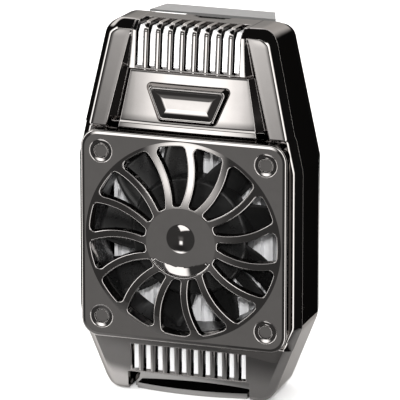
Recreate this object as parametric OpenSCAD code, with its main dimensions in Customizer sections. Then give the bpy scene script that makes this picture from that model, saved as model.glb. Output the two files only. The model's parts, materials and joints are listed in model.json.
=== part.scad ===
// Phone cooling fan: a clip-on cooler with a grilled fan, a thermoelectric module and a sliding jaw.
// The origin is the centre of the soft pad that meets the phone. The fan faces -Y and +Z is up.

/* [Grille] */
// Width of the square grille
grille_w = 40; // [39:0.5:42]
// Corner radius of the grille
grille_corner_r = 3.3; // [2:0.1:4]
// Thickness of the grille
grille_t = 1.6; // [1.2:0.1:2]
// Bevel round the grille's front rim
grille_edge = 0.7; // [0.3:0.1:1]
// Rise of the domed centre above the rim
dome_rise = 1.6; // [1:0.1:2.4]
// Radius where the dome meets the flat rim
dome_r = 19; // [18.4:0.1:19.2]
// Number of slots
slot_count = 15; // [11:1:17]
// Radius at the slots' inner ends
slot_r_in = 7.1; // [6.8:0.1:8.5]
// Radius at the slots' outer ends
slot_r_out = 18.2; // [16:0.1:18.3]
// Corner radius of a slot
slot_corner_r = 0.7; // [0.2:0.1:0.8]
// Width of a spoke between two slots
spoke_w = 1.5; // [1:0.1:1.8]
// Radius of the arc that a spoke follows
spoke_arc_r = 15.4; // [14:0.1:18]
// Distance of that arc's centre from the fan's axis
spoke_arc_out = 18.84; // [17:0.01:21]
// Angle of the first arc's centre
spoke_arc_turn = 15.7; // [0:0.1:24]
// Radius of the hub cap
hub_r = 6.7; // [5.5:0.1:6.8]
// Rise of the hub cap above the dome
hub_rise = 0.45; // [0.3:0.05:1.3]
// Radius of the bowl in the hub cap
bowl_r = 2.8; // [1.5:0.1:3.5]
// Depth of the bowl in the hub cap
bowl_depth = 0.85; // [0.3:0.05:0.9]
// Hole pitch of the grille's corner pins
pin_pitch = 32; // [31:0.5:33]
// Radius of a corner dimple
dimple_r = 2.1; // [1.8:0.1:2.4]
// Depth of a corner dimple
dimple_depth = 0.9; // [0.6:0.1:1.1]
// Radius of a pin's head
pin_head_r = 1.25; // [1.1:0.05:1.4]
// Radius of a pin's shank
pin_r = 0.8; // [0.6:0.05:0.9]

/* [Shell] */
// Width of the shell at its middle
shell_w = 43.5; // [43:0.5:45]
// Height of the shell's top edge above the fan's axis
shell_top_z = 40.3; // [39:0.1:44]
// Height where the upper taper starts
shoulder_z = 14; // [10:0.5:18]
// Inward slope of the upper sides
upper_taper = 0.215; // [0.1:0.005:0.25]
// Height where the lower taper starts
hip_z = -16.2; // [-18:0.1:-12]
// Inward slope of the lower sides
lower_taper = 0.4; // [0.2:0.01:0.42]
// Height of the shell's bottom edge
shell_bottom_z = -30.8; // [-34:0.1:-30.5]
// Corner radius of the outline
shell_corner_r = 3.4; // [2:0.1:4]
// Depth of the rails' face behind the grille's face
rail_y = 2.7; // [2.4:0.1:3]
// Depth where the front shell meets the rear cover
parting_y = 14.4; // [14:0.1:15]
// Wall thickness of the shell and the cover
wall = 1.3; // [1:0.1:1.4]
// Fall of the top face towards the back, per millimetre
top_fall = 0.088; // [0:0.002:0.1]
// Edge rounding at the front of the sides
side_edge = 1.5; // [0.8:0.1:1.8]
// Edge rounding at the front of the top
top_edge = 1.6; // [0.8:0.1:2]
// Depth of the rounding at the front of the top
top_round = 2.3; // [1.8:0.1:2.6]
// Lower edge of the hood's sloped centre
hood_z = 20.3; // [20.2:0.1:21]
// Depth of the sloped centre at its lower edge
hood_y = 2.3; // [1.8:0.1:2.4]
// Depth of the sloped centre at its upper edge
hood_top_y = 3.5; // [3:0.1:3.6]
// Half width of the sloped centre at its lower edge
hood_half = 13.7; // [12:0.1:14]
// Half width of the sloped centre at its upper edge
hood_top_half = 12; // [11.6:0.1:12.2]
// Width of the groove beside the sloped centre at its lower end
groove_w = 2.1; // [1.4:0.1:2.2]
// Width of the groove at its upper end
groove_top_w = 1.2; // [0.8:0.1:1.4]
// Depth of the groove's bottom
groove_y = 3.8; // [3.7:0.1:4]
// Rise of the vent block above the rails
vent_rise = 0.35; // [0.2:0.05:0.6]
// Half width of the vent block
vent_half = 11.5; // [11:0.1:12]
// Lower edge of the vent block
vent_low_z = 31; // [30.6:0.1:31.4]
// Depth of the chin's face at its upper edge
chin_y = 2.8; // [2.4:0.1:3.2]
// Depth of the chin's face at its lower edge
chin_low_y = 3.8; // [3.4:0.1:4.6]
// Length of the bevel under the chin
chin_edge = 1.2; // [0.6:0.1:1.5]

/* [Vents] */
// Pitch of the vent slots
vent_pitch = 2.34; // [2.2:0.02:2.4]
// Width of a vent slot
vent_w = 1.45; // [1:0.05:1.6]
// Number of slots in the top vent
top_vents = 9; // [5:2:9]
// Lower end of the top slots
top_vent_z = 31.9; // [31.8:0.1:34]
// How far the top slots run back over the top
top_vent_y = 9.2; // [6:0.1:9.4]
// Number of slots in the bottom vent
low_vents = 10; // [6:2:10]
// Upper end of the bottom slots
low_vent_top_z = -21.8; // [-23:0.1:-21]
// Lower end of the bottom slots
low_vent_end_z = -27; // [-27.2:0.1:-25]

/* [Badge] */
// Height of the plain badge's lower edge
badge_z = 21.9; // [21.4:0.1:23]
// Height of the badge along the ramp
badge_h = 7.2; // [5:0.1:8]
// Width of the badge at its upper edge
badge_top_w = 17; // [12:0.5:20]
// Width of the badge at its lower edge
badge_low_w = 11; // [8:0.5:14]
// Thickness of the badge
badge_t = 0.9; // [0.5:0.1:1.2]
// Bevel of the badge
badge_edge = 0.6; // [0.2:0.1:0.8]

/* [Fan] */
// Width of the fan's square frame
fan_w = 37.6; // [37:0.1:37.8]
// Thickness of the fan's frame
fan_t = 6.6; // [6.5:0.1:6.8]
// Radius of the fan's duct
duct_r = 18.2; // [17.6:0.1:18.3]
// Gap between the blade tips and the duct
tip_gap = 0.5; // [0.3:0.1:1]
// Number of blades
blade_count = 9; // [5:2:11]
// Thickness of a blade
blade_t = 0.7; // [0.5:0.1:0.9]
// Pitch angle of a blade
blade_pitch = 42; // [35:1:55]
// Radius of the rotor's hub
rotor_r = 11.4; // [11:0.1:12]
// Height of the rotor
rotor_h = 4.7; // [4.5:0.1:4.8]
// Wall of the rotor's hub
rotor_wall = 0.6; // [0.4:0.05:0.7]
// Thickness of the steel yoke ring
yoke_t = 0.8; // [0.6:0.1:0.9]
// Thickness of the magnet ring
magnet_t = 1; // [0.8:0.1:1.1]
// Radius of the shaft
shaft_r = 0.75; // [0.6:0.05:0.8]
// Number of the stator's poles
pole_count = 6; // [4:2:6]
// Wall of the bearing sleeve
sleeve_t = 0.85; // [0.6:0.05:0.9]

/* [Cooling] */
// Depth of the heat sink's fins
fin_h = 2.25; // [1.8:0.05:2.3]
// Thickness of a fin
fin_t = 0.6; // [0.4:0.05:0.8]
// Thickness of the heat sink's base
sink_base_t = 1.1; // [0.9:0.05:1.15]
// Half width of the heat sink's long strip
sink_half = 12.3; // [11.9:0.1:12.4]
// Upper end of the heat sink
sink_top_z = 37.2; // [34:0.1:38]
// Lower end of the heat sink
sink_low_z = -26.2; // [-26.6:0.1:-24]
// Width of the thermoelectric module
tec_w = 17; // [12:0.5:17.5]
// Thickness of the thermoelectric module
tec_t = 2.2; // [2.1:0.05:2.3]
// Thickness of one ceramic plate of the module
ceramic_t = 0.7; // [0.5:0.05:0.8]
// Number of pellets along one side of the module
pellet_count = 6; // [4:1:6]
// Size of a pellet
pellet_w = 1.3; // [1:0.1:1.5]
// Wall of the foam frame round the module
gasket_t = 0.8; // [0.5:0.1:0.9]
// Width of the cold plate
cold_w = 28; // [24:0.5:28.5]
// Thickness of the cold plate
cold_t = 3.2; // [3:0.05:3.4]
// Thickness of the soft pad on the cold plate
pad_t = 0.5; // [0.4:0.1:0.6]

/* [Rear and jaws] */
// Depth of the rear cover
cover_d = 3.1; // [3:0.1:3.4]
// Thickness of the rear cover's back
cover_t = 1.1; // [0.9:0.05:1.2]
// Clear depth between the cold face and the jaws' lips
phone_gap = 9.5; // [8:0.5:12]
// Thickness of the jaws' lips
lip_t = 1.7; // [1.2:0.1:2.2]
// Height of the lower jaw's underside
jaw_bottom_z = -31.2; // [-32:0.1:-31.2]
// Thickness of the lower jaw's floor
jaw_floor_t = 1.8; // [1.4:0.1:2]
// Height of the lower jaw's lip above its floor
low_lip_h = 4; // [2.5:0.1:5]
// Travel of the lower jaw
jaw_travel = 20; // [10:1:20]
// Depth of the lower jaw's front wall
jaw_wall_y = 6.8; // [6.4:0.1:7]
// Depth of the finger ledge's front edge at its middle
ledge_y = 4.2; // [3.8:0.1:4.8]
// Forward bow of the finger ledge
ledge_bow = 1.3; // [0.6:0.1:1.6]
// Height of the cut-out in the chin
cutout_z = -27.5; // [-27.8:0.1:-27.3]
// Width of one slider arm
arm_w = 1.7; // [1.4:0.1:1.7]
// Thickness of one slider arm
arm_t = 1.7; // [1.4:0.1:1.7]
// Gap between a slider arm and the foam frame round the module
arm_clear = 0.5; // [0.3:0.05:0.6]
// Length of the slider arms left in their guides at full travel
arm_hold = 5.1; // [4:0.1:6]
// Height of the upper jaw's underside
upper_arm_z = 34.6; // [34:0.1:34.8]
// Half width of the upper jaw at its root
upper_half = 12.3; // [11.5:0.1:13]
// Half width of the upper jaw at its end
upper_end_half = 7.6; // [6:0.1:9]
// Depth of the upper jaw's lip below its underside
upper_lip_h = 3.8; // [2.5:0.1:5]
// Thickness of the jaws' rubber
rubber_t = 0.7; // [0.4:0.1:1]
// Outer radius of a jaw spring
spring_r = 0.9; // [0.8:0.05:0.95]
// Wire thickness of a jaw spring
spring_wire = 0.3; // [0.25:0.05:0.35]
// Number of coils of a jaw spring
spring_coils = 14; // [8:1:20]
// Upper end of the jaw springs
spring_top_z = 20.6; // [19:0.1:20.8]

/* [Electronics and screws] */
// Sideways place of the charging socket
usb_x = 1.3; // [-1:0.1:2]
// Width of the charging socket
usb_w = 7.5; // [7:0.1:7.8]
// Height of the charging socket
usb_h = 2.3; // [2.1:0.05:2.35]
// Sheet thickness of the charging socket
usb_t = 0.3; // [0.2:0.05:0.35]
// Length of the charging socket
usb_len = 5.3; // [5:0.1:5.6]
// Width of the status light
light_w = 7; // [4:0.5:7.5]
// Thickness of the status light
light_t = 0.7; // [0.5:0.05:0.75]
// Sideways place of the status light
light_x = -7.6; // [-8:0.1:-7]
// Thickness of the control board
board_t = 0.8; // [0.6:0.1:0.8]
// Half width of the control board
board_half = 12; // [10:0.1:12.2]
// Radius of the small screws' shanks
screw_r = 0.75; // [0.6:0.05:0.8]
// Radius of the small screws' heads
screw_head_r = 1.4; // [1.2:0.05:1.5]
// Height of the small screws' heads
screw_head_h = 0.8; // [0.6:0.05:0.9]
// Wall of a screw boss
boss_wall = 0.95; // [0.7:0.05:1]

/* [Hidden] */
$fn = 64;
hull_fn = 32;
ledge_fn = 128;

// Clearances
fit = 0.05;
slide_gap = 0.1;
seat_gap = 0.02;
part_gap = 0.3;
over = 0.5;
skin = 0.02;
slab = 0.25;

// Depths, counted back from the grille's flat face
deck_y = grille_t;
deck_back_y = rail_y + fit;
fan_y = deck_back_y + slide_gap;
fan_back_y = fan_y + fan_t;
fin_y = fan_back_y + slide_gap * 2;
sink_y = fin_y + fin_h;
sink_back_y = sink_y + sink_base_t;
tec_back_y = sink_back_y + tec_t;
cold_back_y = tec_back_y + cold_t;
face_y = cold_back_y + pad_t;
cover_back_y = parting_y + cover_d;
cover_in_y = cover_back_y - cover_t;
lip_y = face_y + phone_gap;
lip_back_y = lip_y + lip_t;

// Outline of the shell
half_w = shell_w / 2;
round_y = rail_y + top_round;
function top_at(y) = shell_top_z - top_fall * max(0, y - round_y);
function half_at(z) =
    z > shoulder_z ? half_w - upper_taper * (z - shoulder_z) :
    z < hip_z ? half_w - lower_taper * (hip_z - z) : half_w;
function right_side(top) = [
    [half_at(shell_bottom_z), shell_bottom_z], [half_w, hip_z], [half_w, shoulder_z], [half_at(top), top]
];
function mirrored(pts) = [for (i = [len(pts) - 1:-1:0]) [-pts[i].x, pts[i].y]];
function outline_pts(top) = concat(right_side(top), mirrored(right_side(top)));

// Fan and rotor
rotor_gap = 0.4;
rotor_y = fan_y + rotor_gap;
rotor_back_y = rotor_y + rotor_h;
rotor_floor_y = rotor_y + rotor_wall + slide_gap;
base_t = 1;
base_y = fan_back_y - base_t;
base_r = rotor_r - rotor_wall - slide_gap * 2;
yoke_r = rotor_r - rotor_wall - fit;
magnet_r = yoke_r - yoke_t - fit;
stator_r = magnet_r - magnet_t - part_gap;
ring_back_y = rotor_back_y - slide_gap * 4;
motor_board_t = 0.6;
board_y = base_y - fit - motor_board_t;
sleeve_r = shaft_r + skin * 2 + sleeve_t;
tube_wall = 0.55;
tube_r = sleeve_r + fit + tube_wall;
tube_y = rotor_floor_y + part_gap * 1.5;
coil_over = 0.45;
core_y = tube_y + coil_over + fit;
core_t = 1.7;
core_in_r = tube_r + fit;
core_ring_t = 1.5;
core_ring_r = core_in_r + core_ring_t;
shoe_t = 1.1;
shoe_half = stator_r * 0.4;
arm_core_w = 1.5;
coil_wire = 0.7;
clip_t = 0.2;
clip_rim = 0.5;
clip_gap = 0.12;
shaft_tip = 0.15;
shaft_recess = 0.35;
shaft_end_y = fan_back_y - shaft_recess;
clip_y = shaft_end_y - clip_t - shaft_tip;
sleeve_end_y = clip_y - clip_gap;
groove_r = shaft_r * 0.7;
strut_w = 2;

// Cooling stack
sink_margin = 0.15;
sink_square = pin_pitch / 2 + screw_head_r + sink_margin;
fin_rows = floor((sink_square - fin_t) / vent_pitch);
module_half = tec_w / 2;
gasket_half = module_half + slide_gap + gasket_t;
cold_half = cold_w / 2;
cold_corner_r = 2.5;
flange = 0.8;
pad_margin = 0.5;
sink_bite = 2;
flange_back_y = cover_in_y - fit;

// Slider
arm_in = gasket_half + arm_clear;
arm_out = arm_in + arm_w;
arm_mid = (arm_in + arm_out) / 2;
jaw_half = arm_out;
arm_y = sink_back_y + part_gap;
jaw_floor_z = jaw_bottom_z + jaw_floor_t;
cut_half = jaw_half + part_gap;
notch_z = jaw_floor_z + part_gap;
jaw_wall_t = 1.4;
ledge_h = 1;
ledge_inset = 0.8;
ledge_half = jaw_half - ledge_inset;
ledge_r = (pow(ledge_half, 2) + pow(ledge_bow, 2)) / (2 * ledge_bow);
guide_w = 0.8;
guide_clear = 0.6;
guide_top_z = -cold_half - flange - guide_clear;
post_r = 0.6;
post_z = spring_top_z + part_gap + post_r;
arm_top_z = notch_z + jaw_travel + arm_hold;
spring_low_z = arm_top_z + part_gap;
spring_y = (sink_back_y + tec_back_y) / 2;

// Electronics
top_in_z = top_at(cover_back_y) - wall;
board_clear = 0.5;
board_low_z = post_z + post_r + board_clear;
board_top_z = top_in_z - 2 * slide_gap;
board_back_y = sink_back_y + slide_gap * 2 + board_t;
usb_y = board_back_y + usb_h / 2 + seat_gap;
usb_top_z = top_in_z - slide_gap;
usb_low_z = usb_top_z - usb_len;
light_y = board_back_y + seat_gap + light_t / 2;
light_depth = 1.2;
light_low_z = board_top_z - light_depth;
led_h = 0.6;
led_half = 0.8;
led_len = 1;
boss_r = screw_r + fit + boss_wall;
boss_x = boss_r + max(sink_half + part_gap, arm_out + guide_w + 2 * slide_gap);
boss_rise = 2;
boss_top_z = board_low_z + boss_rise;
boss_low_z = -22.5;
jaw_screw_x = 9.5;
jaw_screw_drop = 2.6;
jaw_screw_z = upper_arm_z - jaw_screw_drop;
rear_bite = 5;
drive_w = 0.45;
drive_depth = 0.36;
lead_r = 0.45;
lead_x = 3;
lead_reach = 1.5;

// Helpers
module place() translate([0, -face_y, 0]) children();
module along_y(y0, y1) translate([0, y1, 0]) rotate([90, 0, 0]) linear_extrude(y1 - y0) children();
module along_x(x0, x1) translate([x0, 0, 0]) rotate([90, 0, 90]) linear_extrude(x1 - x0) children();
module along_z(z0, z1) translate([0, 0, z0]) linear_extrude(z1 - z0) children();
module rod(r, y0, y1) translate([0, y0, 0]) rotate([-90, 0, 0]) cylinder(r = r, h = y1 - y0);
module ring(r_out, r_in, y0, y1) {
    difference() {
        rod(r_out, y0, y1);
        rod(r_in, y0 - over, y1 + over);
    }
}
module spun(profile) rotate([-90, 0, 0]) rotate_extrude() polygon(profile);
module box(x, y, z) {
    translate([x[0], y[0], z[0]]) cube([x[1] - x[0], y[1] - y[0], z[1] - z[0]]);
}
module corners(pitch) {
    for (sx = [-1, 1])
        for (sz = [-1, 1])
            translate([sx * pitch / 2, 0, sz * pitch / 2]) children();
}
module sides() {
    for (s = [0, 1]) mirror([s, 0, 0]) children();
}
module rounded_square(w, r) {
    offset(r = r, $fn = hull_fn) square(w - 2 * r, center = true);
}
module outline(top, inset = 0) {
    offset(r = shell_corner_r - inset, $fn = hull_fn)
        offset(delta = -shell_corner_r)
            polygon(outline_pts(top));
}
module trapezoid(low_w, top_w, h) {
    polygon([[-low_w / 2, 0], [low_w / 2, 0], [top_w / 2, h], [-top_w / 2, h]]);
}
module rear_boss_places() {
    sides() {
        translate([boss_x, 0, boss_top_z]) children();
        translate([boss_x, 0, boss_low_z]) children();
    }
}
module screw(head_y, tip_y, dir) {
    // The head lies behind head_y when dir is 1 and in front of it when dir is -1
    rod(screw_r, min(head_y, tip_y), max(head_y, tip_y));
    difference() {
        rod(screw_head_r, min(head_y, head_y + dir * screw_head_h), max(head_y, head_y + dir * screw_head_h));
        for (a = [0, 90])
            rotate([0, a, 0])
                translate([0, head_y + dir * screw_head_h, 0])
                    cube([screw_head_r, 2 * drive_depth, drive_w], center = true);
    }
}

// Grille
hub_base_y = dome_y(hub_r);
hub_top_y = hub_base_y - hub_rise;
hub_flat = 0.72;
hub_top_r = hub_r * hub_flat;
dome_steps = 8;
hub_steps = 5;
pin_bite = 3.6;
pin_tip_y = fan_y + pin_bite;
pin_top_y = 0.3;
pin_dome = 0.2;
pin_steps = 4;
function dome_y(r) = -dome_rise * (1 - pow(r / dome_r, 2));
function dome_front() = [
    for (i = [0:dome_steps]) let(r = dome_r + (hub_r - dome_r) * i / dome_steps) [r, dome_y(r)]
];
function hub_edge() = [
    for (i = [1:hub_steps]) let(a = 90 * i / hub_steps)
        [hub_top_r + (hub_r - hub_top_r) * cos(a), hub_base_y - hub_rise * sin(a)]
];
function bowl() = [
    for (i = [0:hub_steps]) let(r = bowl_r * (1 - i / hub_steps))
        [r, hub_top_y + bowl_depth * (1 - pow(r / bowl_r, 2))]
];
function dome_back() = [
    for (i = [0:dome_steps]) let(r = dome_r * i / dome_steps) [r, dome_y(r) + grille_t]
];
function pin_head() = [
    for (i = [0:pin_steps]) let(a = 90 * i / pin_steps)
        [pin_head_r * sin(a), pin_top_y + pin_dome * (1 - cos(a))]
];

module spoke_2d() {
    rotate(spoke_arc_turn)
        difference() {
            translate([spoke_arc_out, 0]) circle(spoke_arc_r + spoke_w / 2);
            translate([spoke_arc_out, 0]) circle(spoke_arc_r - spoke_w / 2);
            // One half of the arc is the spoke
            translate([-grille_w, 0]) square(4 * grille_w);
        }
}
module slots_2d() {
    offset(r = slot_corner_r, $fn = hull_fn)
        offset(delta = -slot_corner_r)
            difference() {
                circle(slot_r_out);
                circle(slot_r_in);
                for (i = [0:slot_count - 1]) rotate(i * 360 / slot_count) spoke_2d();
            }
}
module grille_rim() {
    hull() {
        along_y(0, grille_t) rounded_square(grille_w - 2 * grille_edge, grille_corner_r - grille_edge);
        along_y(grille_edge, grille_t) rounded_square(grille_w, grille_corner_r);
    }
}
module fan_grille() {
    color("dimgray") place() difference() {
        union() {
            difference() {
                grille_rim();
                rod(dome_r - part_gap, -over, grille_t + over);
            }
            spun(concat(dome_front(), hub_edge(), bowl(), dome_back()));
        }
        along_y(-dome_rise - over, grille_t + over) slots_2d();
        corners(pin_pitch) {
            translate([0, -skin, 0])
                rotate([-90, 0, 0])
                    cylinder(r1 = dimple_r, r2 = pin_head_r + slide_gap, h = dimple_depth + skin);
            rod(pin_r + fit, 0, grille_t + over);
        }
    }
}
module grille_pins() {
    color("gray") place() corners(pin_pitch)
        spun(concat(pin_head(), [
            [pin_head_r, dimple_depth], [pin_r, dimple_depth], [pin_r, pin_tip_y], [0, pin_tip_y]
        ]));
}

// Front shell
edge_mid = 0.5;
edge_in = 0.2;
module shell_body() {
    difference() {
        hull() {
            along_y(rail_y, rail_y + slab) outline(shell_top_z - top_edge + side_edge, side_edge);
            along_y(rail_y + side_edge, rail_y + side_edge + slab)
                outline(shell_top_z - top_edge * edge_mid, side_edge * edge_in);
            along_y(round_y, parting_y) outline(shell_top_z);
        }
        along_x(-half_w, half_w) polygon([
            [round_y, shell_top_z], [parting_y + over, top_at(parting_y + over)],
            [parting_y + over, shell_top_z + over], [round_y, shell_top_z + over]
        ]);
    }
}
ramp_slope = (hood_top_y - hood_y) / (vent_low_z - hood_z);
ramp_tilt = atan(ramp_slope);
groove_at = 0.4;
hood_wall = 0.8;
hood_back_y = groove_y + hood_wall;
function ramp_y(z) = hood_y + (z - hood_z) * ramp_slope;
function groove_x(half, w) = half + groove_at * w;
module slab_at(z) along_z(z, z + slab) children();
module hood_strip(y0, low_y, top_y) {
    low = groove_x(hood_half, groove_w);
    top = groove_x(hood_top_half, groove_top_w);
    hull() {
        slab_at(hood_z) translate([-low, y0]) square([2 * low, low_y - y0]);
        slab_at(vent_low_z) translate([-top, y0]) square([2 * top, top_y - y0]);
    }
}
module groove_2d(half, w, y) {
    polygon([[half, -over], [half, y], [groove_x(half, w), groove_y], [half + w, rail_y], [half + w, -over]]);
}
module hood_cut() {
    hood_strip(-over, hood_y, hood_top_y);
    sides() hull() {
        slab_at(hood_z) groove_2d(hood_half, groove_w, hood_y);
        slab_at(vent_low_z) groove_2d(hood_top_half, groove_top_w, hood_top_y);
    }
}
module vent_block() {
    along_x(-vent_half, vent_half) polygon([
        [groove_y + over, vent_low_z], [rail_y - vent_rise, vent_low_z + vent_rise / 2],
        [rail_y - vent_rise, shell_top_z - top_edge],
        [rail_y + side_edge - vent_rise, shell_top_z - top_edge * edge_mid],
        [round_y, shell_top_z - skin], [round_y, vent_low_z + over]
    ]);
}
module chin_cut() {
    along_x(-half_w - over, half_w + over) polygon([
        [-over, -grille_w / 2], [chin_y, -grille_w / 2], [chin_low_y, shell_bottom_z + chin_edge],
        [chin_low_y + chin_edge, shell_bottom_z], [chin_low_y + chin_edge, shell_bottom_z - over],
        [-over, shell_bottom_z - over]
    ]);
}
module inner(y0, z0, z1) {
    along_y(y0, parting_y + over) intersection() {
        outline(top_at(parting_y), wall);
        translate([-half_w, z0]) square([shell_w, z1 - z0]);
    }
}
module vent_row(count) {
    for (i = [0:count - 1]) translate([(i - (count - 1) / 2) * vent_pitch, 0, 0]) children();
}
usb_cut_w = usb_w - usb_t;
usb_cut_h = usb_h - usb_t / 2;
module top_cuts() {
    box([usb_x - usb_cut_w / 2, usb_x + usb_cut_w / 2],
        [usb_y - usb_cut_h / 2, usb_y + usb_cut_h / 2], [top_in_z - over, shell_top_z + over]);
    box([light_x - light_w / 2 - fit, light_x + light_w / 2 + fit],
        [light_y - light_t / 2 - fit, light_y + light_t / 2 + fit], [light_low_z - over, shell_top_z + over]);
}
module front_shell() {
    color("slategray") place() difference() {
        union() {
            difference() {
                union() {
                    difference() {
                        union() {
                            shell_body();
                            hood_strip(hood_y - over, rail_y + over, rail_y + over);
                        }
                        hood_cut();
                        chin_cut();
                    }
                    vent_block();
                    along_y(deck_y, rail_y + over)
                        rounded_square(grille_w - 2 * part_gap, grille_corner_r - part_gap);
                }
                along_y(deck_back_y, parting_y + over) square(fan_w + 2 * part_gap, center = true);
                inner(hood_back_y, fan_w / 2, shell_top_z);
                inner(chin_low_y + wall, shell_bottom_z, -fan_w / 2);
            }
            sides() {
                translate([boss_x, 0, boss_top_z]) rod(boss_r, hood_back_y - hood_wall / 2, parting_y);
                translate([boss_x, 0, boss_low_z]) rod(boss_r, chin_low_y + over, parting_y);
            }
        }
        rod(duct_r + slide_gap, -over, deck_back_y + over);
        corners(pin_pitch) rod(pin_r + slide_gap, 0, deck_back_y + over);
        rear_boss_places() rod(screw_r + fit, chin_low_y + 2 * wall, parting_y + over);
        vent_row(top_vents)
            box([-vent_w / 2, vent_w / 2], [-over, top_vent_y], [top_vent_z, shell_top_z + over]);
        vent_row(low_vents)
            box([-vent_w / 2, vent_w / 2], [-over, chin_low_y + 2 * wall], [low_vent_end_z, low_vent_top_z]);
        box([-cut_half, cut_half], [-over, parting_y + over], [shell_bottom_z - over, cutout_z]);
        top_cuts();
    }
}
badge_wall = 0.4;
module hood_badge() {
    color("lightgray") place()
        translate([0, ramp_y(badge_z) - seat_gap, badge_z])
            rotate([-ramp_tilt, 0, 0])
                hull() {
                    along_y(-badge_t * badge_wall, 0) trapezoid(badge_low_w, badge_top_w, badge_h);
                    along_y(-badge_t, 0)
                        translate([0, badge_edge])
                            trapezoid(badge_low_w - 2 * badge_edge, badge_top_w - 2 * badge_edge,
                                badge_h - 2 * badge_edge);
                }
}

// Fan
module fan_frame() {
    color("black") place() difference() {
        union() {
            difference() {
                along_y(fan_y, fan_back_y) square(fan_w, center = true);
                rod(duct_r, fan_y - over, fan_back_y + over);
            }
            rod(base_r, base_y, fan_back_y);
            rod(tube_r, tube_y, fan_back_y);
            for (a = [45:90:315])
                rotate([0, a, 0])
                    box([base_r - over, duct_r + 2 * over], [base_y, fan_back_y],
                        [-strut_w / 2, strut_w / 2]);
        }
        corners(pin_pitch) rod(pin_r + fit, fan_y - over, fan_back_y + over);
        rod(sleeve_r + fit, tube_y - over, shaft_end_y + slide_gap);
    }
}
module stator_core() {
    color("silver") place() {
        ring(core_ring_r, core_in_r, core_y, core_y + core_t);
        for (i = [0:pole_count - 1])
            rotate([0, i * 360 / pole_count, 0]) {
                box([core_ring_r - over / 2, stator_r - shoe_t / 2], [core_y, core_y + core_t],
                    [-arm_core_w / 2, arm_core_w / 2]);
                intersection() {
                    ring(stator_r, stator_r - shoe_t, core_y, core_y + core_t);
                    box([0, stator_r + over], [core_y - over, core_y + core_t + over],
                        [-shoe_half, shoe_half]);
                }
            }
    }
}
coil_half = arm_core_w / 2 + seat_gap + coil_wire;
coil_end = sqrt(pow(stator_r - shoe_t, 2) - pow(coil_half, 2)) - fit;
module stator_coils() {
    color("chocolate") place()
        for (i = [0:pole_count - 1])
            rotate([0, i * 360 / pole_count, 0])
                difference() {
                    box([core_ring_r + fit, coil_end],
                        [core_y - coil_over, core_y + core_t + coil_over], [-coil_half, coil_half]);
                    box([0, stator_r], [core_y - seat_gap, core_y + core_t + seat_gap],
                        [-arm_core_w / 2 - seat_gap, arm_core_w / 2 + seat_gap]);
                }
}
module motor_board() {
    color("darkgreen") place() ring(magnet_r - slide_gap, tube_r + fit, board_y, board_y + motor_board_t);
}
module bearing_sleeve() {
    color("goldenrod") place() ring(sleeve_r, shaft_r + 2 * skin, tube_y + fit, sleeve_end_y);
}
blade_turn = 180 / blade_count;
module blade() {
    translate([0, (rotor_y + rotor_back_y) / 2, 0])
        rotate([blade_pitch, 0, 0])
            box([0, duct_r + over], [-blade_t / 2, blade_t / 2], [-rotor_h, rotor_h]);
}
module impeller() {
    color("black") place() {
        difference() {
            rod(rotor_r, rotor_y, rotor_back_y);
            rod(rotor_r - rotor_wall, rotor_floor_y, rotor_back_y + over);
            rod(shaft_r + seat_gap, rotor_y + slide_gap, rotor_back_y + over);
        }
        intersection() {
            ring(duct_r - tip_gap, rotor_r - rotor_wall / 2, rotor_y + slide_gap, rotor_back_y - slide_gap);
            for (i = [0:blade_count - 1]) rotate([0, i * 360 / blade_count + blade_turn, 0]) blade();
        }
    }
}
module rotor_yoke() {
    color("gray") place() ring(yoke_r, yoke_r - yoke_t, rotor_floor_y + seat_gap, ring_back_y);
}
module magnet_ring() {
    color("dimgray") place() ring(magnet_r, magnet_r - magnet_t, rotor_floor_y + seat_gap, ring_back_y);
}
module shaft() {
    color("silver") place() spun([
        [0, rotor_y + slide_gap + seat_gap], [shaft_r, rotor_y + slide_gap + seat_gap],
        [shaft_r, clip_y - seat_gap], [groove_r, clip_y - seat_gap],
        [groove_r, clip_y + clip_t + seat_gap], [shaft_r, clip_y + clip_t + seat_gap],
        [shaft_r, shaft_end_y], [0, shaft_end_y]
    ]);
}
module shaft_clip() {
    color("white") place() ring(shaft_r + clip_rim, groove_r + seat_gap, clip_y, clip_y + clip_t);
}

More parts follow.
